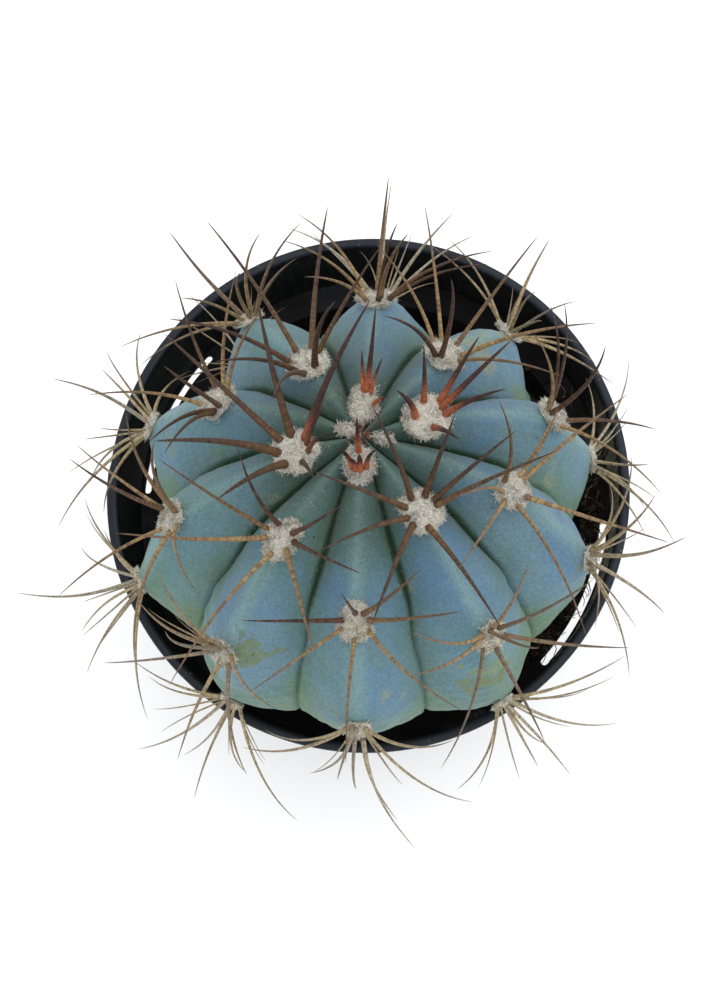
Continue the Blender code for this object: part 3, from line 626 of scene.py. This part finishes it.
def stem_point(rib, latitude, fine=True):
    """Points of the ribbed surface. A whole rib number is a crest, and a half one is a groove.

    The fine surface has sharper ribs lower down, grooves that sway between the areoles and small lumps.
    """
    rib, latitude = np.atleast_1d(rib).astype(float), np.atleast_1d(latitude).astype(float)
    radius, height = crest_profile(latitude)
    radial, axial = crest_normal(latitude)
    across = in_groove(rib)
    fade = np.maximum(np.cos(latitude), 0)
    lower = 1 - GROOVE_SHALLOWING * (1 - np.tanh(latitude / GROOVE_TURN))
    angle, drop = rib_angle(rib), across**GROOVE_SHAPE
    if fine:
        angle = swayed_angle(rib, latitude, fade)
        drop = flank(across, np.interp(np.degrees(latitude), *RIB_SHAPE))
    offset = SWELL * wave_down(np.round(rib), latitude) * fade * (1 - across)
    offset -= GROOVE * lower * fade**GROOVE_FADE * drop
    outward = np.cos(angle)[:, None] * RIGHT + np.sin(angle)[:, None] * BACK
    if fine:
        rough = STEM_CENTRE + outward * radius[:, None] + AXIS * height[:, None]
        for index, (size, rise) in enumerate(LUMPS):
            offset += rise * waves(rough, size, SEED + index) * fade
        offset -= CREASE_DEPTH * np.exp(-(((1 - across) / CREASE_WIDTH) ** 2)) * fade
        offset += EDGE_HEIGHT * np.exp(-((across / EDGE_WIDTH) ** 2)) * fade
    radius = np.maximum(radius + radial * offset, 0)
    height = height + axial * offset
    return STEM_CENTRE + outward * radius[:, None] + AXIS * height[:, None]


def new_object(name, mesh, materials=()):
    obj = bpy.data.objects.new(name, mesh)
    bpy.context.scene.collection.objects.link(obj)
    for material in materials:
        mesh.materials.append(material)
    return obj


def built_object(name, bm, materials=()):
    """An object from a mesh that was built, which is freed."""
    mesh = bpy.data.meshes.new(name)
    bm.to_mesh(mesh)
    bm.free()
    return new_object(name, mesh, materials)


def give_values(mesh, values):
    """Gives the points of a mesh the numbers that the shaders read by name."""
    for name, numbers in values.items():
        layer = mesh.attributes.new(name, "FLOAT", "POINT")
        layer.data.foreach_set("value", np.asarray(numbers, dtype=np.float32))


def keep(obj, slot, *nodes):
    """The piece rides with the pot and stands for the nodes, which it hides. The slot is not used."""
    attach(obj, "root")
    if nodes:
        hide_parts(*nodes)


def unit(ways):
    return ways / (norm(ways, axis=-1, keepdims=True) + 1e-12)


def spokes(first, second, count):
    """Ways spread evenly round, for each pair of directions at right angles."""
    turns = np.arange(count) * TURN / count
    return np.cos(turns)[None, :, None] * first[:, None] + np.sin(turns)[None, :, None] * second[:, None]


def bent(start, control, end, share):
    """Places part of the way along a curve that starts and ends towards its control point."""
    return (1 - share) ** 2 * start + 2 * share * (1 - share) * control + share**2 * end


def ring_faces(rings, around, down=False):
    """Faces of rings of points, each ring closed on itself, from the bottom up or from the top down."""
    faces = []
    for low in range(0, (rings - 1) * around, around):
        for side in range(around):
            after = (side + 1) % around
            face = (low + side, low + after, low + around + after, low + around + side)
            faces.append((face[0], *face[:0:-1]) if down else face)
    return faces


def small_ball(subdivisions):
    """Corners and faces of a ball of radius 1."""
    bm = bmesh.new()
    bmesh.ops.create_icosphere(bm, subdivisions=subdivisions, radius=1)
    corners = np.array([vertex.co for vertex in bm.verts])
    faces = [tuple(vertex.index for vertex in face.verts) for face in bm.faces]
    bm.free()
    return corners, faces


class Maker:
    """Gathers closed shapes into one mesh, with values for the shader at each point."""

    def __init__(self):
        self.points = []
        self.faces = []
        self.slots = []
        self.values = {"along": [], "length": [], "age": [], "tone": []}
        self.count = 0

    def add(self, points, faces, slot, **values):
        self.points.append(np.asarray(points))
        self.faces += [tuple(self.count + corner for corner in face) for face in faces]
        self.slots += [slot] * len(faces)
        for name, parts in self.values.items():
            parts.append(np.broadcast_to(values.get(name, 0.0), len(points)))
        self.count += len(points)

    def tube(self, path, radii, sides, slot, age, tone):
        """A closed tube along the path that ends in a point."""
        path = np.asarray(path)
        ways = np.gradient(path, axis=0)
        ways /= norm(ways, axis=1)[:, None]
        first = np.cross(ways, np.array(Vector(path[-1] - path[0]).orthogonal()))
        first /= norm(first, axis=1)[:, None]
        around = spokes(first, np.cross(ways, first), sides)
        rings = path[:-1, None] + around[:-1] * np.asarray(radii)[:-1, None, None]
        count = len(path) - 1
        points = np.concatenate([rings.reshape(-1, 3), path[-1:]])
        faces = [tuple(range(sides - 1, -1, -1))] + ring_faces(count, sides)
        top = (count - 1) * sides
        faces += [(top + side, top + (side + 1) % sides, count * sides) for side in range(sides)]
        steps = np.concatenate([[0], np.cumsum(norm(np.diff(path, axis=0), axis=1))])
        length = np.concatenate([np.repeat(steps[:-1], sides), steps[-1:]])
        self.add(points, faces, slot, along=length / steps[-1], length=length / MM, age=age, tone=tone)

    def hairs(self, roots, middles, tips, age, tones):
        """Fine three-sided hairs, each bent at its middle and ending in a point."""
        ways = unit(tips - roots)
        first = unit(np.cross(ways, np.roll(ways, 1, axis=1)))
        around = spokes(first, np.cross(ways, first), 3) * HAIR_WIDTH
        points = np.concatenate([roots[:, None] + around, middles[:, None] + around, tips[:, None]], axis=1)
        count, corners = points.shape[:2]
        faces = [tuple(corners * hair + n for n in face) for hair in range(count) for face in HAIR_FACES]
        tones = np.repeat(tones, corners)
        self.add(points.reshape(-1, 3), faces, 0, along=np.tile(HAIR_ALONG, count), age=age, tone=tones)

    def mesh(self, name):
        mesh = bpy.data.meshes.new(name)
        mesh.from_pydata(np.concatenate(self.points).tolist(), [], self.faces)
        mesh.polygons.foreach_set("material_index", self.slots)
        give_values(mesh, {value: np.concatenate(parts) for value, parts in self.values.items()})
        mesh.shade_smooth()
        mesh.update()
        return mesh


def root_neck(angle):
    """Two rings of points round the root neck, just over the mix and down in it."""
    neck = []
    foot = MIX_LEVEL - ROOT_DEPTH
    for radius, height in ((ROOT_RADIUS, MIX_LEVEL + ROOT_COLLAR), (ROOT_RADIUS - ROOT_TAPER, foot)):
        ring = (np.cos(angle) * radius, np.sin(angle) * radius, np.full(len(angle), height))
        neck.append(np.stack(ring, axis=1) + ROOT_CENTRE)
    return np.concatenate(neck)


def make_skin():
    """The stem's skin: fine rings from the crown to the foot, then down round the root neck."""
    around = RIBS * SKIN_SIDES
    steps = np.arange(SKIN_SIDES) / SKIN_SIDES - 0.5
    rib = (np.arange(RIBS)[:, None] + 0.5 * np.sin(pi * steps)).ravel()
    ribs = np.tile(rib, SKIN_RINGS)
    latitudes = np.repeat(np.linspace(SKIN_TOP, LOWEST_LATITUDE, SKIN_RINGS), around)
    neck = root_neck(rib_angle(rib))
    crown = stem_point(0, pi / 2, fine=False)
    bottom = ROOT_CENTRE + np.array((0, 0, MIX_LEVEL - ROOT_DEPTH))
    points = np.concatenate([stem_point(ribs, latitudes), neck, crown, bottom[None]])
    top, low = len(points) - 2, len(points) - 1
    last = top - around
    faces = ring_faces(top // around, around, down=True)
    faces += [(top, side, (side + 1) % around) for side in range(around)]
    faces += [(low, last + (side + 1) % around, last + side) for side in range(around)]
    mesh = bpy.data.meshes.new("stem_skin")
    mesh.from_pydata(points.tolist(), [], faces)
    extra = len(neck) + 2
    values = {
        "valley": np.append(in_groove(ribs), np.full(extra, 0.5)),
        "latitude": np.append(np.degrees(latitudes), np.full(extra, NECK_LATITUDE)),
        "rib": np.append(ribs, np.zeros(extra)),
    }
    values["latitude"][top] = 90
    give_values(mesh, values)
    mesh.shade_smooth()
    keep(new_object("stem_skin", mesh, [skin_material()]), "skin", "stem")


class Areole:
    """One woolly pad's place on its rib, with its own directions up the rib, to the right and outward."""

    def __init__(self, pair, side):
        self.pair = pair
        self.side = side
        self.name = f"areole_{pair:02d}_{'ab'[side]}"
        rib, latitude = rib_of(pair, side), np.radians([FIRST_LATITUDE - PAIR_STEP * pair])
        self.place = stem_point(rib, latitude, fine=False)[0]
        radial, axial = crest_normal(latitude)
        outward = outward_from_axis(rib)
        self.normal = outward * radial[0] + AXIS * axial[0]
        self.up = AXIS * radial[0] - outward * axial[0]
        self.right = np.cross(self.up, self.normal)
        aged = PAD_LARGEST - PAD_SHRINK * (pair - 1)
        self.radius = max(aged, PAD_SMALLEST) if pair else PAD_YOUNGEST
        self.age = pair / (PAIRS - 1)

    def felt(self):
        shares = [np.interp(self.pair, FELT_PAIRS, row) for row in (FELT_ACROSS, FELT_ALONG, FELT_HEIGHT)]
        centre = self.place + self.normal * PAD_LIFT
        axes, seed = (self.right, self.up, self.normal), SEED + 2 * self.pair + self.side
        return Pad(centre, axes, self.radius * np.array(shares), self.age, seed)


def spine_corners(node):
    """Root, middle and tip of each needle of a node's solid. A tip is where three long edges meet."""
    bm = bmesh.new()
    bm.from_mesh(node.data)
    bmesh.ops.remove_doubles(bm, verts=bm.verts, dist=1e-6)
    found = []
    for tip in bm.verts:
        ring = [edge.other_vert(tip) for edge in tip.link_edges]
        if len(ring) != 3 or min(edge.calc_length() for edge in tip.link_edges) < TIP_EDGE:
            continue
        if max((a.co - b.co).length for a in ring for b in ring) > TIP_RING:
            continue
        middle = sum((vertex.co for vertex in ring), Vector()) / 3
        feet = needle_feet(tip, ring, (tip.co - middle).normalized())
        if feet:
            root = sum(feet, Vector()) / len(feet)
            found.append(tuple(np.array(corner) for corner in (root, middle, tip.co)))
    bm.free()
    found.sort(key=lambda corners: tuple(corners[2].round(5)))
    return found


def needle_feet(tip, ring, ahead):
    """The far ends of the edges that run back from the ring at a needle's middle."""
    feet = []
    for vertex in ring:
        for edge in vertex.link_edges:
            other = edge.other_vert(vertex)
            if other is not tip and other not in ring and (other.co - vertex.co).dot(ahead) < -MM:
                feet.append(other.co)
    return feet


def meets_pot(points):
    """Whether any of the points lies in the pot's rim or wall, or below its ledge."""
    for x, y, height in points:
        inside = collar_inside(height) - CLEARANCE
        if height < LEDGE + CLEARANCE:
            return True
        if height < POT_HEIGHT + CLEARANCE and inside < hypot(x, y) < RIM_RADIUS + CLEARANCE:
            return True
    return False


def thin_spines(areole, needles, rng):
    """Roots, middles and tips of the thin spines between an old areole's needles."""
    ways = [tip - root for root, _, tip in needles]
    turns = [atan2(way @ areole.right, way @ areole.up) for way in ways]
    found = []
    for _ in range(THIN_TRIES):
        turn, rise = rng.uniform(-pi, pi), rng.uniform(*THIN_RISE)
        length = rng.uniform(*THIN_LENGTH)
        if min(abs(remainder(turn - other, TURN)) for other in turns) < THIN_APART:
            continue
        side = areole.up * cos(turn) + areole.right * sin(turn)
        way = side * cos(rise) + areole.normal * sin(rise)
        root = areole.place + side * THIN_ROOT * areole.radius + areole.normal * PAD_LIFT
        middle = root + way * length / 2 + areole.normal * length * THIN_BOW
        tip = root + way * length
        if meets_pot((middle, (middle + tip) / 2, tip)):
            continue
        found.append((root, middle, tip))
        turns.append(turn)
        if len(turns) >= THIN_WANTED:
            break
    return found


def spine_path(areole, root, middle, tip, share, rng):
    """A curve from root to tip past the middle, swept a little aside and curled towards its tip."""
    path = bent(root, 2 * middle - (root + tip) / 2, tip, share)
    length = norm(tip - root)
    side = np.cross((tip - root) / length, areole.normal)
    side /= norm(side) + 1e-9
    wild = 0.35 + 1.1 * areole.age
    path = path + side * (rng.uniform(-1, 1) * SWEEP * length * wild) * np.sin(pi * share)
    return path - areole.normal * (rng.uniform(-0.3, 1.0) * CURL * length * wild) * share**4


def spine_radius(areole, length, central, thin, rng):
    """Radius near a spine's foot: the largest on young areoles, and on long and central spines."""
    thick = (SPINE_YOUNG if areole.pair < 3 else SPINE_GROWN) * (1 - 0.34 * areole.age)
    thick *= rng.uniform(0.84, 1.1)
    thick *= min(1, 0.45 + length / SPINE_FULL)
    thick *= (1.3 if areole.pair == 1 else 1.12) if central else 1
    return thick * (THIN_SHARE if thin else 1)


def add_spine(maker, areole, corners, rng, thin=False):
    """A round curved spine through a needle's root, middle and tip, sunk into the wool."""
    root, middle, tip = corners
    root = root + (root - middle) / norm(root - middle) * SPINE_SUNK
    share = np.linspace(0, 1, SPINE_POINTS)
    path = spine_path(areole, root, middle, tip, share[:, None], rng)
    length = norm(tip - root)
    central = (middle - root) @ areole.normal > CENTRAL_RISE * norm(middle - root)
    thick = spine_radius(areole, length, central, thin, rng)
    taper = (1 - share) ** (0.58 + 0.1 * areole.age) * (1 + 0.2 * np.exp(-share / 0.06))
    up_rib = max(0, (tip - root) / length @ areole.up)
    age = areole.age + ((0.08, 0.03)[areole.side] * (1 - up_rib) if areole.pair == 1 else 0)
    tone = rng.uniform(0.55, 1) if central else rng.uniform(0, 0.6 if thin else 0.85)
    maker.tube(path, np.maximum(taper * thick, SPINE_FINEST), SPINE_SIDES, 1, age, tone)


class Pad:
    """A mound of felt, with its directions and half lengths across, along and outward."""

    def __init__(self, centre, axes, size, age, seed):
        self.centre = centre
        self.axes = np.stack(axes)
        self.size = np.array(size)
        self.age = age
        self.seed = seed
        self.clumps = unit(np.random.default_rng(seed).normal(size=(FELT_CLUMPS, 3)))

    def surface(self, ways):
        """The mound's surface towards each way: uneven round its edge, with small clumps all over."""
        edge = unit(ways * np.array((1, 1, 0)) + 1e-6)
        nearest = (ways @ self.clumps.T).max(axis=1)
        reach = FELT_REACH + FELT_EDGE * waves(edge, 1.6, self.seed)
        reach = reach + FELT_CLUMP * np.clip((nearest - 0.95) / 0.05, 0, 1)
        reach = reach + FELT_RELIEF * waves(ways, 0.25, self.seed)
        return self.centre + (ways * self.size * reach[:, None]) @ self.axes


def add_wool(maker, pad, rng, count):
    """A low mound of felt, thick with short hairs that gather into small clumps."""
    ways, faces = small_ball(4)
    # The mound gets a low along and tone: painted shade under the hairs.
    maker.add(pad.surface(ways), faces, 0, along=0.35, age=pad.age, tone=0.4)
    rng = np.random.default_rng(rng.randrange(10**6))
    turn, rise = rng.uniform(-pi, pi, count), rng.uniform(HAIR_LOWEST, 1, count)
    out = np.sqrt(1 - rise**2)
    ways = np.stack([np.cos(turn) * out, np.sin(turn) * out, rise], axis=1)
    roots = pad.surface(ways * 0.97)
    nearness = ways @ pad.clumps.T
    near = np.argmax(nearness, axis=1)
    on_clump = np.clip((nearness.max(axis=1) - 0.93) / 0.06, 0, 1)
    gather = (pad.clumps[near] - ways) * pad.size / (2 * MM)
    lean = unit(unit(ways / pad.size) + gather + rng.normal(0, HAIR_SPREAD, (count, 3))) @ pad.axes
    length = rng.uniform(*HAIR_LENGTH, (count, 1)) * (0.7 + 0.5 * out[:, None] ** 4) * (1 - 0.3 * pad.age)
    bend = rng.normal(0, HAIR_BEND, (count, 3))
    curl = rng.normal(0, HAIR_CURL, (count, 3))
    middles = roots + (lean * 0.55 + bend) * length
    tips = roots + (lean * 0.95 + curl) * length
    maker.hairs(roots, middles, tips, pad.age, 0.7 * rng.random(count) + 0.3 * on_clump)


def make_areole(areole, node, materials):
    """One areole's felt and spines, with thin spines between them if it is old."""
    number = areole.name.removeprefix("areole_")
    rng = random.Random(f"{SEED} {number}")
    maker = Maker()
    add_wool(maker, areole.felt(), rng, HAIRS)
    needles = spine_corners(node)
    for corners in needles:
        add_spine(maker, areole, corners, rng)
    if areole.pair >= THIN_FROM_PAIR:
        for corners in thin_spines(areole, needles, rng):
            add_spine(maker, areole, corners, rng, thin=True)
    piece = new_object("wool_and_spines_" + number, maker.mesh(areole.name), materials)
    keep(piece, "wool", areole.name)


def make_areoles(materials):
    for pair in range(PAIRS):
        for side in (0, 1):
            areole = Areole(pair, side)
            if areole.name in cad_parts:
                make_areole(areole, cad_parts[areole.name], materials)


def polar(radius, angle):
    return Vector((radius * cos(angle), radius * sin(angle), 0))


def wall_inside(height):
    share = (height - FLOOR) / (LEDGE - FLOOR)
    return BASE_RADIUS - WALL + share * (THROAT - BASE_RADIUS + WALL)


def collar_inside(height):
    return COLLAR_FOOT + (height - LEDGE) / (POT_HEIGHT - LEDGE) * (COLLAR_TOP - COLLAR_FOOT)


def rounded(corners):
    """The profile with each marked corner (radius, height, size) turned into a small arc."""
    points = []
    for index, (x, z, size) in enumerate(corners):
        here = np.array((x, z))
        if size == 0:
            points.append(here)
            continue
        before = np.array(corners[index - 1][:2]) - here
        after = np.array(corners[index + 1][:2]) - here
        start = here + before / norm(before) * size
        end = here + after / norm(after) * size
        points += [bent(start, here, end, share) for share in np.linspace(0, 1, 5)]
    return points


def pot_profile():
    ledge_under = LEDGE - LEDGE_THICKNESS
    lip_under = POT_HEIGHT - LIP_THICKNESS
    soft, small = 0.5 * MM, 0.35 * MM
    return rounded([
        (0, 0, 0),
        (BASE_RADIUS, 0, FOOT_BEVEL),
        (wall_inside(ledge_under) + WALL, ledge_under, soft),
        (COLLAR_FOOT + WALL, ledge_under, soft),
        (collar_inside(lip_under) + WALL, lip_under, small),
        (RIM_RADIUS, lip_under, soft),
        (RIM_RADIUS, POT_HEIGHT, 0.7 * MM),
        (COLLAR_TOP, POT_HEIGHT, 1.0 * MM),
        (COLLAR_FOOT, LEDGE, small),
        (THROAT, LEDGE, small),
        (wall_inside(FLOOR), FLOOR, soft),
        (0, FLOOR, 0),
    ])


def turned(name, profile, steps):
    """A closed solid turned round Z from a profile that starts and ends on the axis."""
    mesh = bpy.data.meshes.new(name)
    edges = [(index, index + 1) for index in range(len(profile) - 1)]
    mesh.from_pydata([(radius, 0, height) for radius, height in profile], edges, [])
    obj = new_object(name, mesh)
    screw = obj.modifiers.new("Screw", "SCREW")
    screw.steps = screw.render_steps = steps
    screw.use_merge_vertices = True
    screw.merge_threshold = MERGE
    apply_modifiers(obj)
    bm = bmesh.new()
    bm.from_mesh(obj.data)
    bmesh.ops.remove_doubles(bm, verts=bm.verts, dist=MERGE)
    bmesh.ops.recalc_face_normals(bm, faces=bm.faces)
    bm.to_mesh(obj.data)
    bm.free()
    return obj


def apply_modifiers(obj):
    graph = bpy.context.evaluated_depsgraph_get()
    mesh = bpy.data.meshes.new_from_object(obj.evaluated_get(graph))
    obj.modifiers.clear()
    obj.data = mesh


def slot_outline():
    """Points round a slot that is a round-ended stretch of a ring, with its middle at angle 0."""
    half = SLOT_WIDTH / 2
    middle = SLOT_OUTER - half
    turn = SLOT_ARC / 2 - half / middle
    angles = [turn * (2 * step / SLOT_STEPS - 1) for step in range(SLOT_STEPS + 1)]

    def end(at, start):
        turns = [start + pi * step / SLOT_END_STEPS for step in range(1, SLOT_END_STEPS)]
        return [polar(middle, at) + polar(half, turn) for turn in turns]

    outer = [polar(SLOT_OUTER, angle) for angle in angles]
    inner = [polar(SLOT_OUTER - SLOT_WIDTH, angle) for angle in reversed(angles)]
    return outer + end(turn, turn) + inner + end(-turn, pi - turn)


def slot_cutter(index):
    """A slot-shaped block through the ledge."""
    bm = bmesh.new()
    base = bm.faces.new([bm.verts.new(point - Vector((0, 0, SLOT_CUT / 2))) for point in slot_outline()])
    raised = bmesh.ops.extrude_face_region(bm, geom=[base])["geom"]
    moved = [item for item in raised if isinstance(item, bmesh.types.BMVert)]
    bmesh.ops.translate(bm, vec=Vector((0, 0, SLOT_CUT)), verts=moved)
    bmesh.ops.recalc_face_normals(bm, faces=bm.faces)
    cutter = built_object("slot_cutter", bm)
    cutter.location.z = LEDGE
    cutter.rotation_euler.z = SLOT_MIDDLE + index * TURN / SLOT_COUNT
    return cutter


def drain_cutter(index):
    bm = bmesh.new()
    size = {"radius1": DRAIN_RADIUS, "radius2": DRAIN_RADIUS, "depth": 4 * FLOOR}
    bmesh.ops.create_cone(bm, cap_ends=True, segments=32, **size)
    cutter = built_object("drain_cutter", bm)
    cutter.location = polar(DRAIN_CIRCLE, (index + 0.5) * TURN / DRAIN_COUNT)
    return cutter


def add_seam(mesh):
    """The moulding seam: a short stretch of the lip that stands out by a hair's breadth."""
    for vertex in mesh.vertices:
        turn = atan2(vertex.co.y, vertex.co.x) % TURN
        radius = hypot(vertex.co.x, vertex.co.y)
        if radius > RIM_RADIUS - WALL / 2 and SEAM_START < turn < SEAM_END:
            vertex.co.xy *= 1 + SEAM_RISE / radius


def mark_inside(mesh):
    """Gives the shader a value that is 1 on the pot's inside, where it is dusty and streaked."""
    inside = []
    for vertex in mesh.vertices:
        height = vertex.co.z
        above = height > LEDGE - LEDGE_THICKNESS / 2
        wall = (collar_inside(height) if above else wall_inside(height)) + WALL / 2
        inside.append(height > FLOOR / 2 and hypot(*vertex.co.xy) < wall)
    give_values(mesh, {"inside": inside})


def make_pot():
    pot = turned("nursery_pot", pot_profile(), POT_STEPS)
    cutters = [slot_cutter(index) for index in range(SLOT_COUNT)]
    cutters += [drain_cutter(index) for index in range(DRAIN_COUNT)]
    for cutter in cutters:
        modifier = pot.modifiers.new("Cut", "BOOLEAN")
        modifier.object = cutter
        modifier.solver = "EXACT"
    bpy.context.view_layer.update()
    apply_modifiers(pot)
    for cutter in cutters:
        bpy.data.objects.remove(cutter)
    add_seam(pot.data)
    mark_inside(pot.data)
    pot.data.materials.clear()
    pot.data.materials.append(pot_material())
    pot.data.shade_smooth()
    pot.data.set_sharp_from_angle(angle=SHARP)
    keep(pot, "pot_plastic", "pot")


def soil_rise(x, y):
    """How far the mix is banked up against the wall, most of it on the right."""
    near_wall = min(1, max(0, (hypot(x, y) - BANK_FROM) / BANK_WIDTH))
    return max(0, BANK_HEIGHT * near_wall * (0.45 + 0.55 * cos(atan2(y, x) - BANK_TURN)))


def add_grain(maker, rng, ball, place, size, index):
    """One flat angular crumb of soil, with its middle at a place."""
    ways, faces = ball
    spin = Matrix.Rotation(rng.uniform(0, 6.3), 3, Vector((rng.gauss(0, 1), rng.gauss(0, 1), 1)))
    shape = ways * (1 + 0.16 * waves(ways, 1.3, index))[:, None]
    shape = shape * np.array((1, rng.uniform(0.5, 0.9), rng.uniform(0.4, 0.7))) * size
    maker.add(np.array(place) + shape @ np.array(spin), faces, 0, tone=rng.random() ** 2)


def add_grains(maker, rng, ball):
    """Crumbs on the mix: everywhere at first, and the last of them only where it is banked up."""
    for index in range(GRAINS):
        place = polar(MIX_RADIUS * sqrt(rng.random()) * 0.97, rng.uniform(0, TURN))
        size = rng.uniform(0.7, 2.2) * MM * (1.5 if rng.random() < 0.1 else 1)
        if hypot(place.x - ROOT_CENTRE[0], place.y - ROOT_CENTRE[1]) < ROOT_RADIUS + size:
            continue
        rise = soil_rise(place.x, place.y)
        if rise < 1.5 * MM and index > FLAT_GRAINS:
            continue
        place.z = MIX_LEVEL + rng.uniform(0.2, 1.6) * MM + rise * rng.uniform(0.4, 1.0)
        add_grain(maker, rng, ball, place, size, index)


def add_ledge_grains(maker, rng, ball):
    for index in range(LEDGE_GRAINS):
        turn = rng.gauss(LEDGE_SPILL, LEDGE_SPREAD)
        size = rng.uniform(0.35, 1.1) * MM
        place = polar(rng.uniform(THROAT - 0.5 * MM, SLOT_OUTER - SLOT_WIDTH - size), turn)
        place.z = LEDGE + size * 0.45
        add_grain(maker, rng, ball, place, size, index)


def add_fibre(maker, rng, place, way, kind):
    """A root fibre that wanders over the ground, and is left out where it leaves the room it has."""
    path = [place]
    for _ in range(kind.steps):
        way += rng.gauss(0, kind.bend)
        ahead = np.array((cos(way), sin(way), rng.gauss(0, kind.climb)))
        path.append(path[-1] + ahead * kind.step * MM)
        ground = kind.ground + soil_rise(*path[-1][:2]) * kind.banked
        path[-1][2] = min(max(path[-1][2], ground), ground + kind.slack)
    reach = [hypot(*point[:2]) for point in path]
    if kind.near < min(reach) and max(reach) < kind.far:
        radii = np.linspace(*kind.radii, len(path)) * MM
        maker.tube(path, radii, 5, 0, 0.0, rng.uniform(*kind.tones))


def add_fibres(maker, rng):
    """Root fibres on the mix, and dry ones on the ledge that reach over its slot at the right."""
    for _ in range(MIX_FIBRES.count):
        place = np.array(polar(MIX_RADIUS * sqrt(rng.random()) * 0.9, rng.uniform(0, TURN)))
        place[2] = MIX_FIBRES.ground + soil_rise(*place[:2])
        add_fibre(maker, rng, place, rng.uniform(0, TURN), MIX_FIBRES)
    for _ in range(LEDGE_FIBRES.count):
        turn = rng.gauss(LEDGE_SPILL, LEDGE_SPREAD)
        place = np.array(polar(rng.uniform(THROAT, SLOT_OUTER - 2 * MM), turn))
        place[2] = LEDGE + 0.5 * MM
        add_fibre(maker, rng, place, turn + rng.uniform(-1.4, 1.4), LEDGE_FIBRES)


def make_soil():
    """Loose crumbs and root fibres on the potting mix, and some of both on the ledge at the right."""
    material = soil_material()
    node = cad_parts["potting_mix"]
    node.data.materials.clear()
    node.data.materials.append(material)
    rng = random.Random(SEED)
    ball = small_ball(2)
    maker = Maker()
    add_grains(maker, rng, ball)
    add_ledge_grains(maker, rng, ball)
    add_fibres(maker, rng)
    keep(new_object("soil_grains", maker.mesh("soil_grains"), [material]), "potting_mix")


def make_crown(materials):
    """The youngest wool: two small tufts in the crown's dip, with dark hairs of the next spines between."""
    rng = random.Random(SEED + 3)
    maker = Maker()
    crown = stem_point(0, pi / 2, fine=False)[0]
    along = outward_from_axis(CROWN_WOOL_RIB)
    beside = np.cross(AXIS, along)
    for index, (place, length, width) in enumerate(CROWN_TUFTS):
        centre = crown + along * place + AXIS * 0.3 * MM
        size = (length, width, CROWN_TUFT_HEIGHT)
        pad = Pad(centre, (along, beside, AXIS), size, 0.0, SEED + 60 + index)
        add_wool(maker, pad, rng, CROWN_HAIRS)
    for _ in range(CROWN_BRISTLES):
        root = crown + along * rng.gauss(-0.2, 1.6) * MM + beside * rng.gauss(0, 1.1) * MM + AXIS * 0.1 * MM
        lean = unit(AXIS + along * rng.gauss(0, 0.8) + beside * rng.gauss(0, 0.8))
        path = root + lean * rng.uniform(0.7, 1.6) * MM * np.linspace(0, 1, 4)[:, None]
        maker.tube(path, np.linspace(0.09, 0.03, 4) * MM, 4, 1, 0.05, rng.random())
    keep(new_object("crown_tuft", maker.mesh("crown_tuft"), materials), "wool", "crown_wool")


# Stage


def make_floor():
    bm = bmesh.new()
    bmesh.ops.create_grid(bm, x_segments=1, y_segments=1, size=GROUND_SIZE)
    matt = Graph("floor", {"Roughness": 0.9, "Specular IOR Level": 0.1}).finish(GROUND_COLOUR)
    floor = built_object("floor", bm, [matt])
    floor.location.z = -GROUND_DROP


def make_lights():
    world = bpy.data.worlds.new("studio")
    bpy.context.scene.world = world
    world.use_nodes = True
    sky = world.node_tree.nodes["Background"].inputs
    sky["Color"].default_value = SKY_COLOUR
    sky["Strength"].default_value = SKY_STRENGTH
    light = bpy.data.lights.new("key", "AREA")
    light.shape = "DISK"
    light.size = KEY_SIZE
    light.energy = KEY_POWER
    key = new_object("key", light)
    key.location = KEY_PLACE
    key.rotation_euler = (CAMERA_TARGET - Vector(KEY_PLACE)).to_track_quat("-Z", "Y").to_euler()


def make_camera():
    level = cos(CAMERA_ELEVATION)
    back = Vector((sin(CAMERA_AZIMUTH) * level, -cos(CAMERA_AZIMUTH) * level, sin(CAMERA_ELEVATION)))
    right = (-back).cross(Vector((0, 1, 0))).normalized()
    up = back.cross(right)
    data = bpy.data.cameras.new("camera")
    data.sensor_fit = "VERTICAL"
    data.sensor_height = SENSOR
    data.lens = SENSOR * FOCAL_PIXELS / IMAGE_HEIGHT
    data.clip_start = CAMERA_NEAR
    camera = new_object("camera", data)
    turn = Matrix((right, up, back)).transposed().to_4x4()
    camera.matrix_world = Matrix.Translation(CAMERA_TARGET + back * CAMERA_DISTANCE) @ turn
    bpy.context.scene.camera = camera
    bpy.context.scene.view_settings.view_transform = "Standard"


make_camera()
make_lights()
make_floor()
make_skin()
make_pot()
make_soil()
hair_and_horn = (wool_material(), spine_material())
make_areoles(hair_and_horn)
make_crown(hair_and_horn)
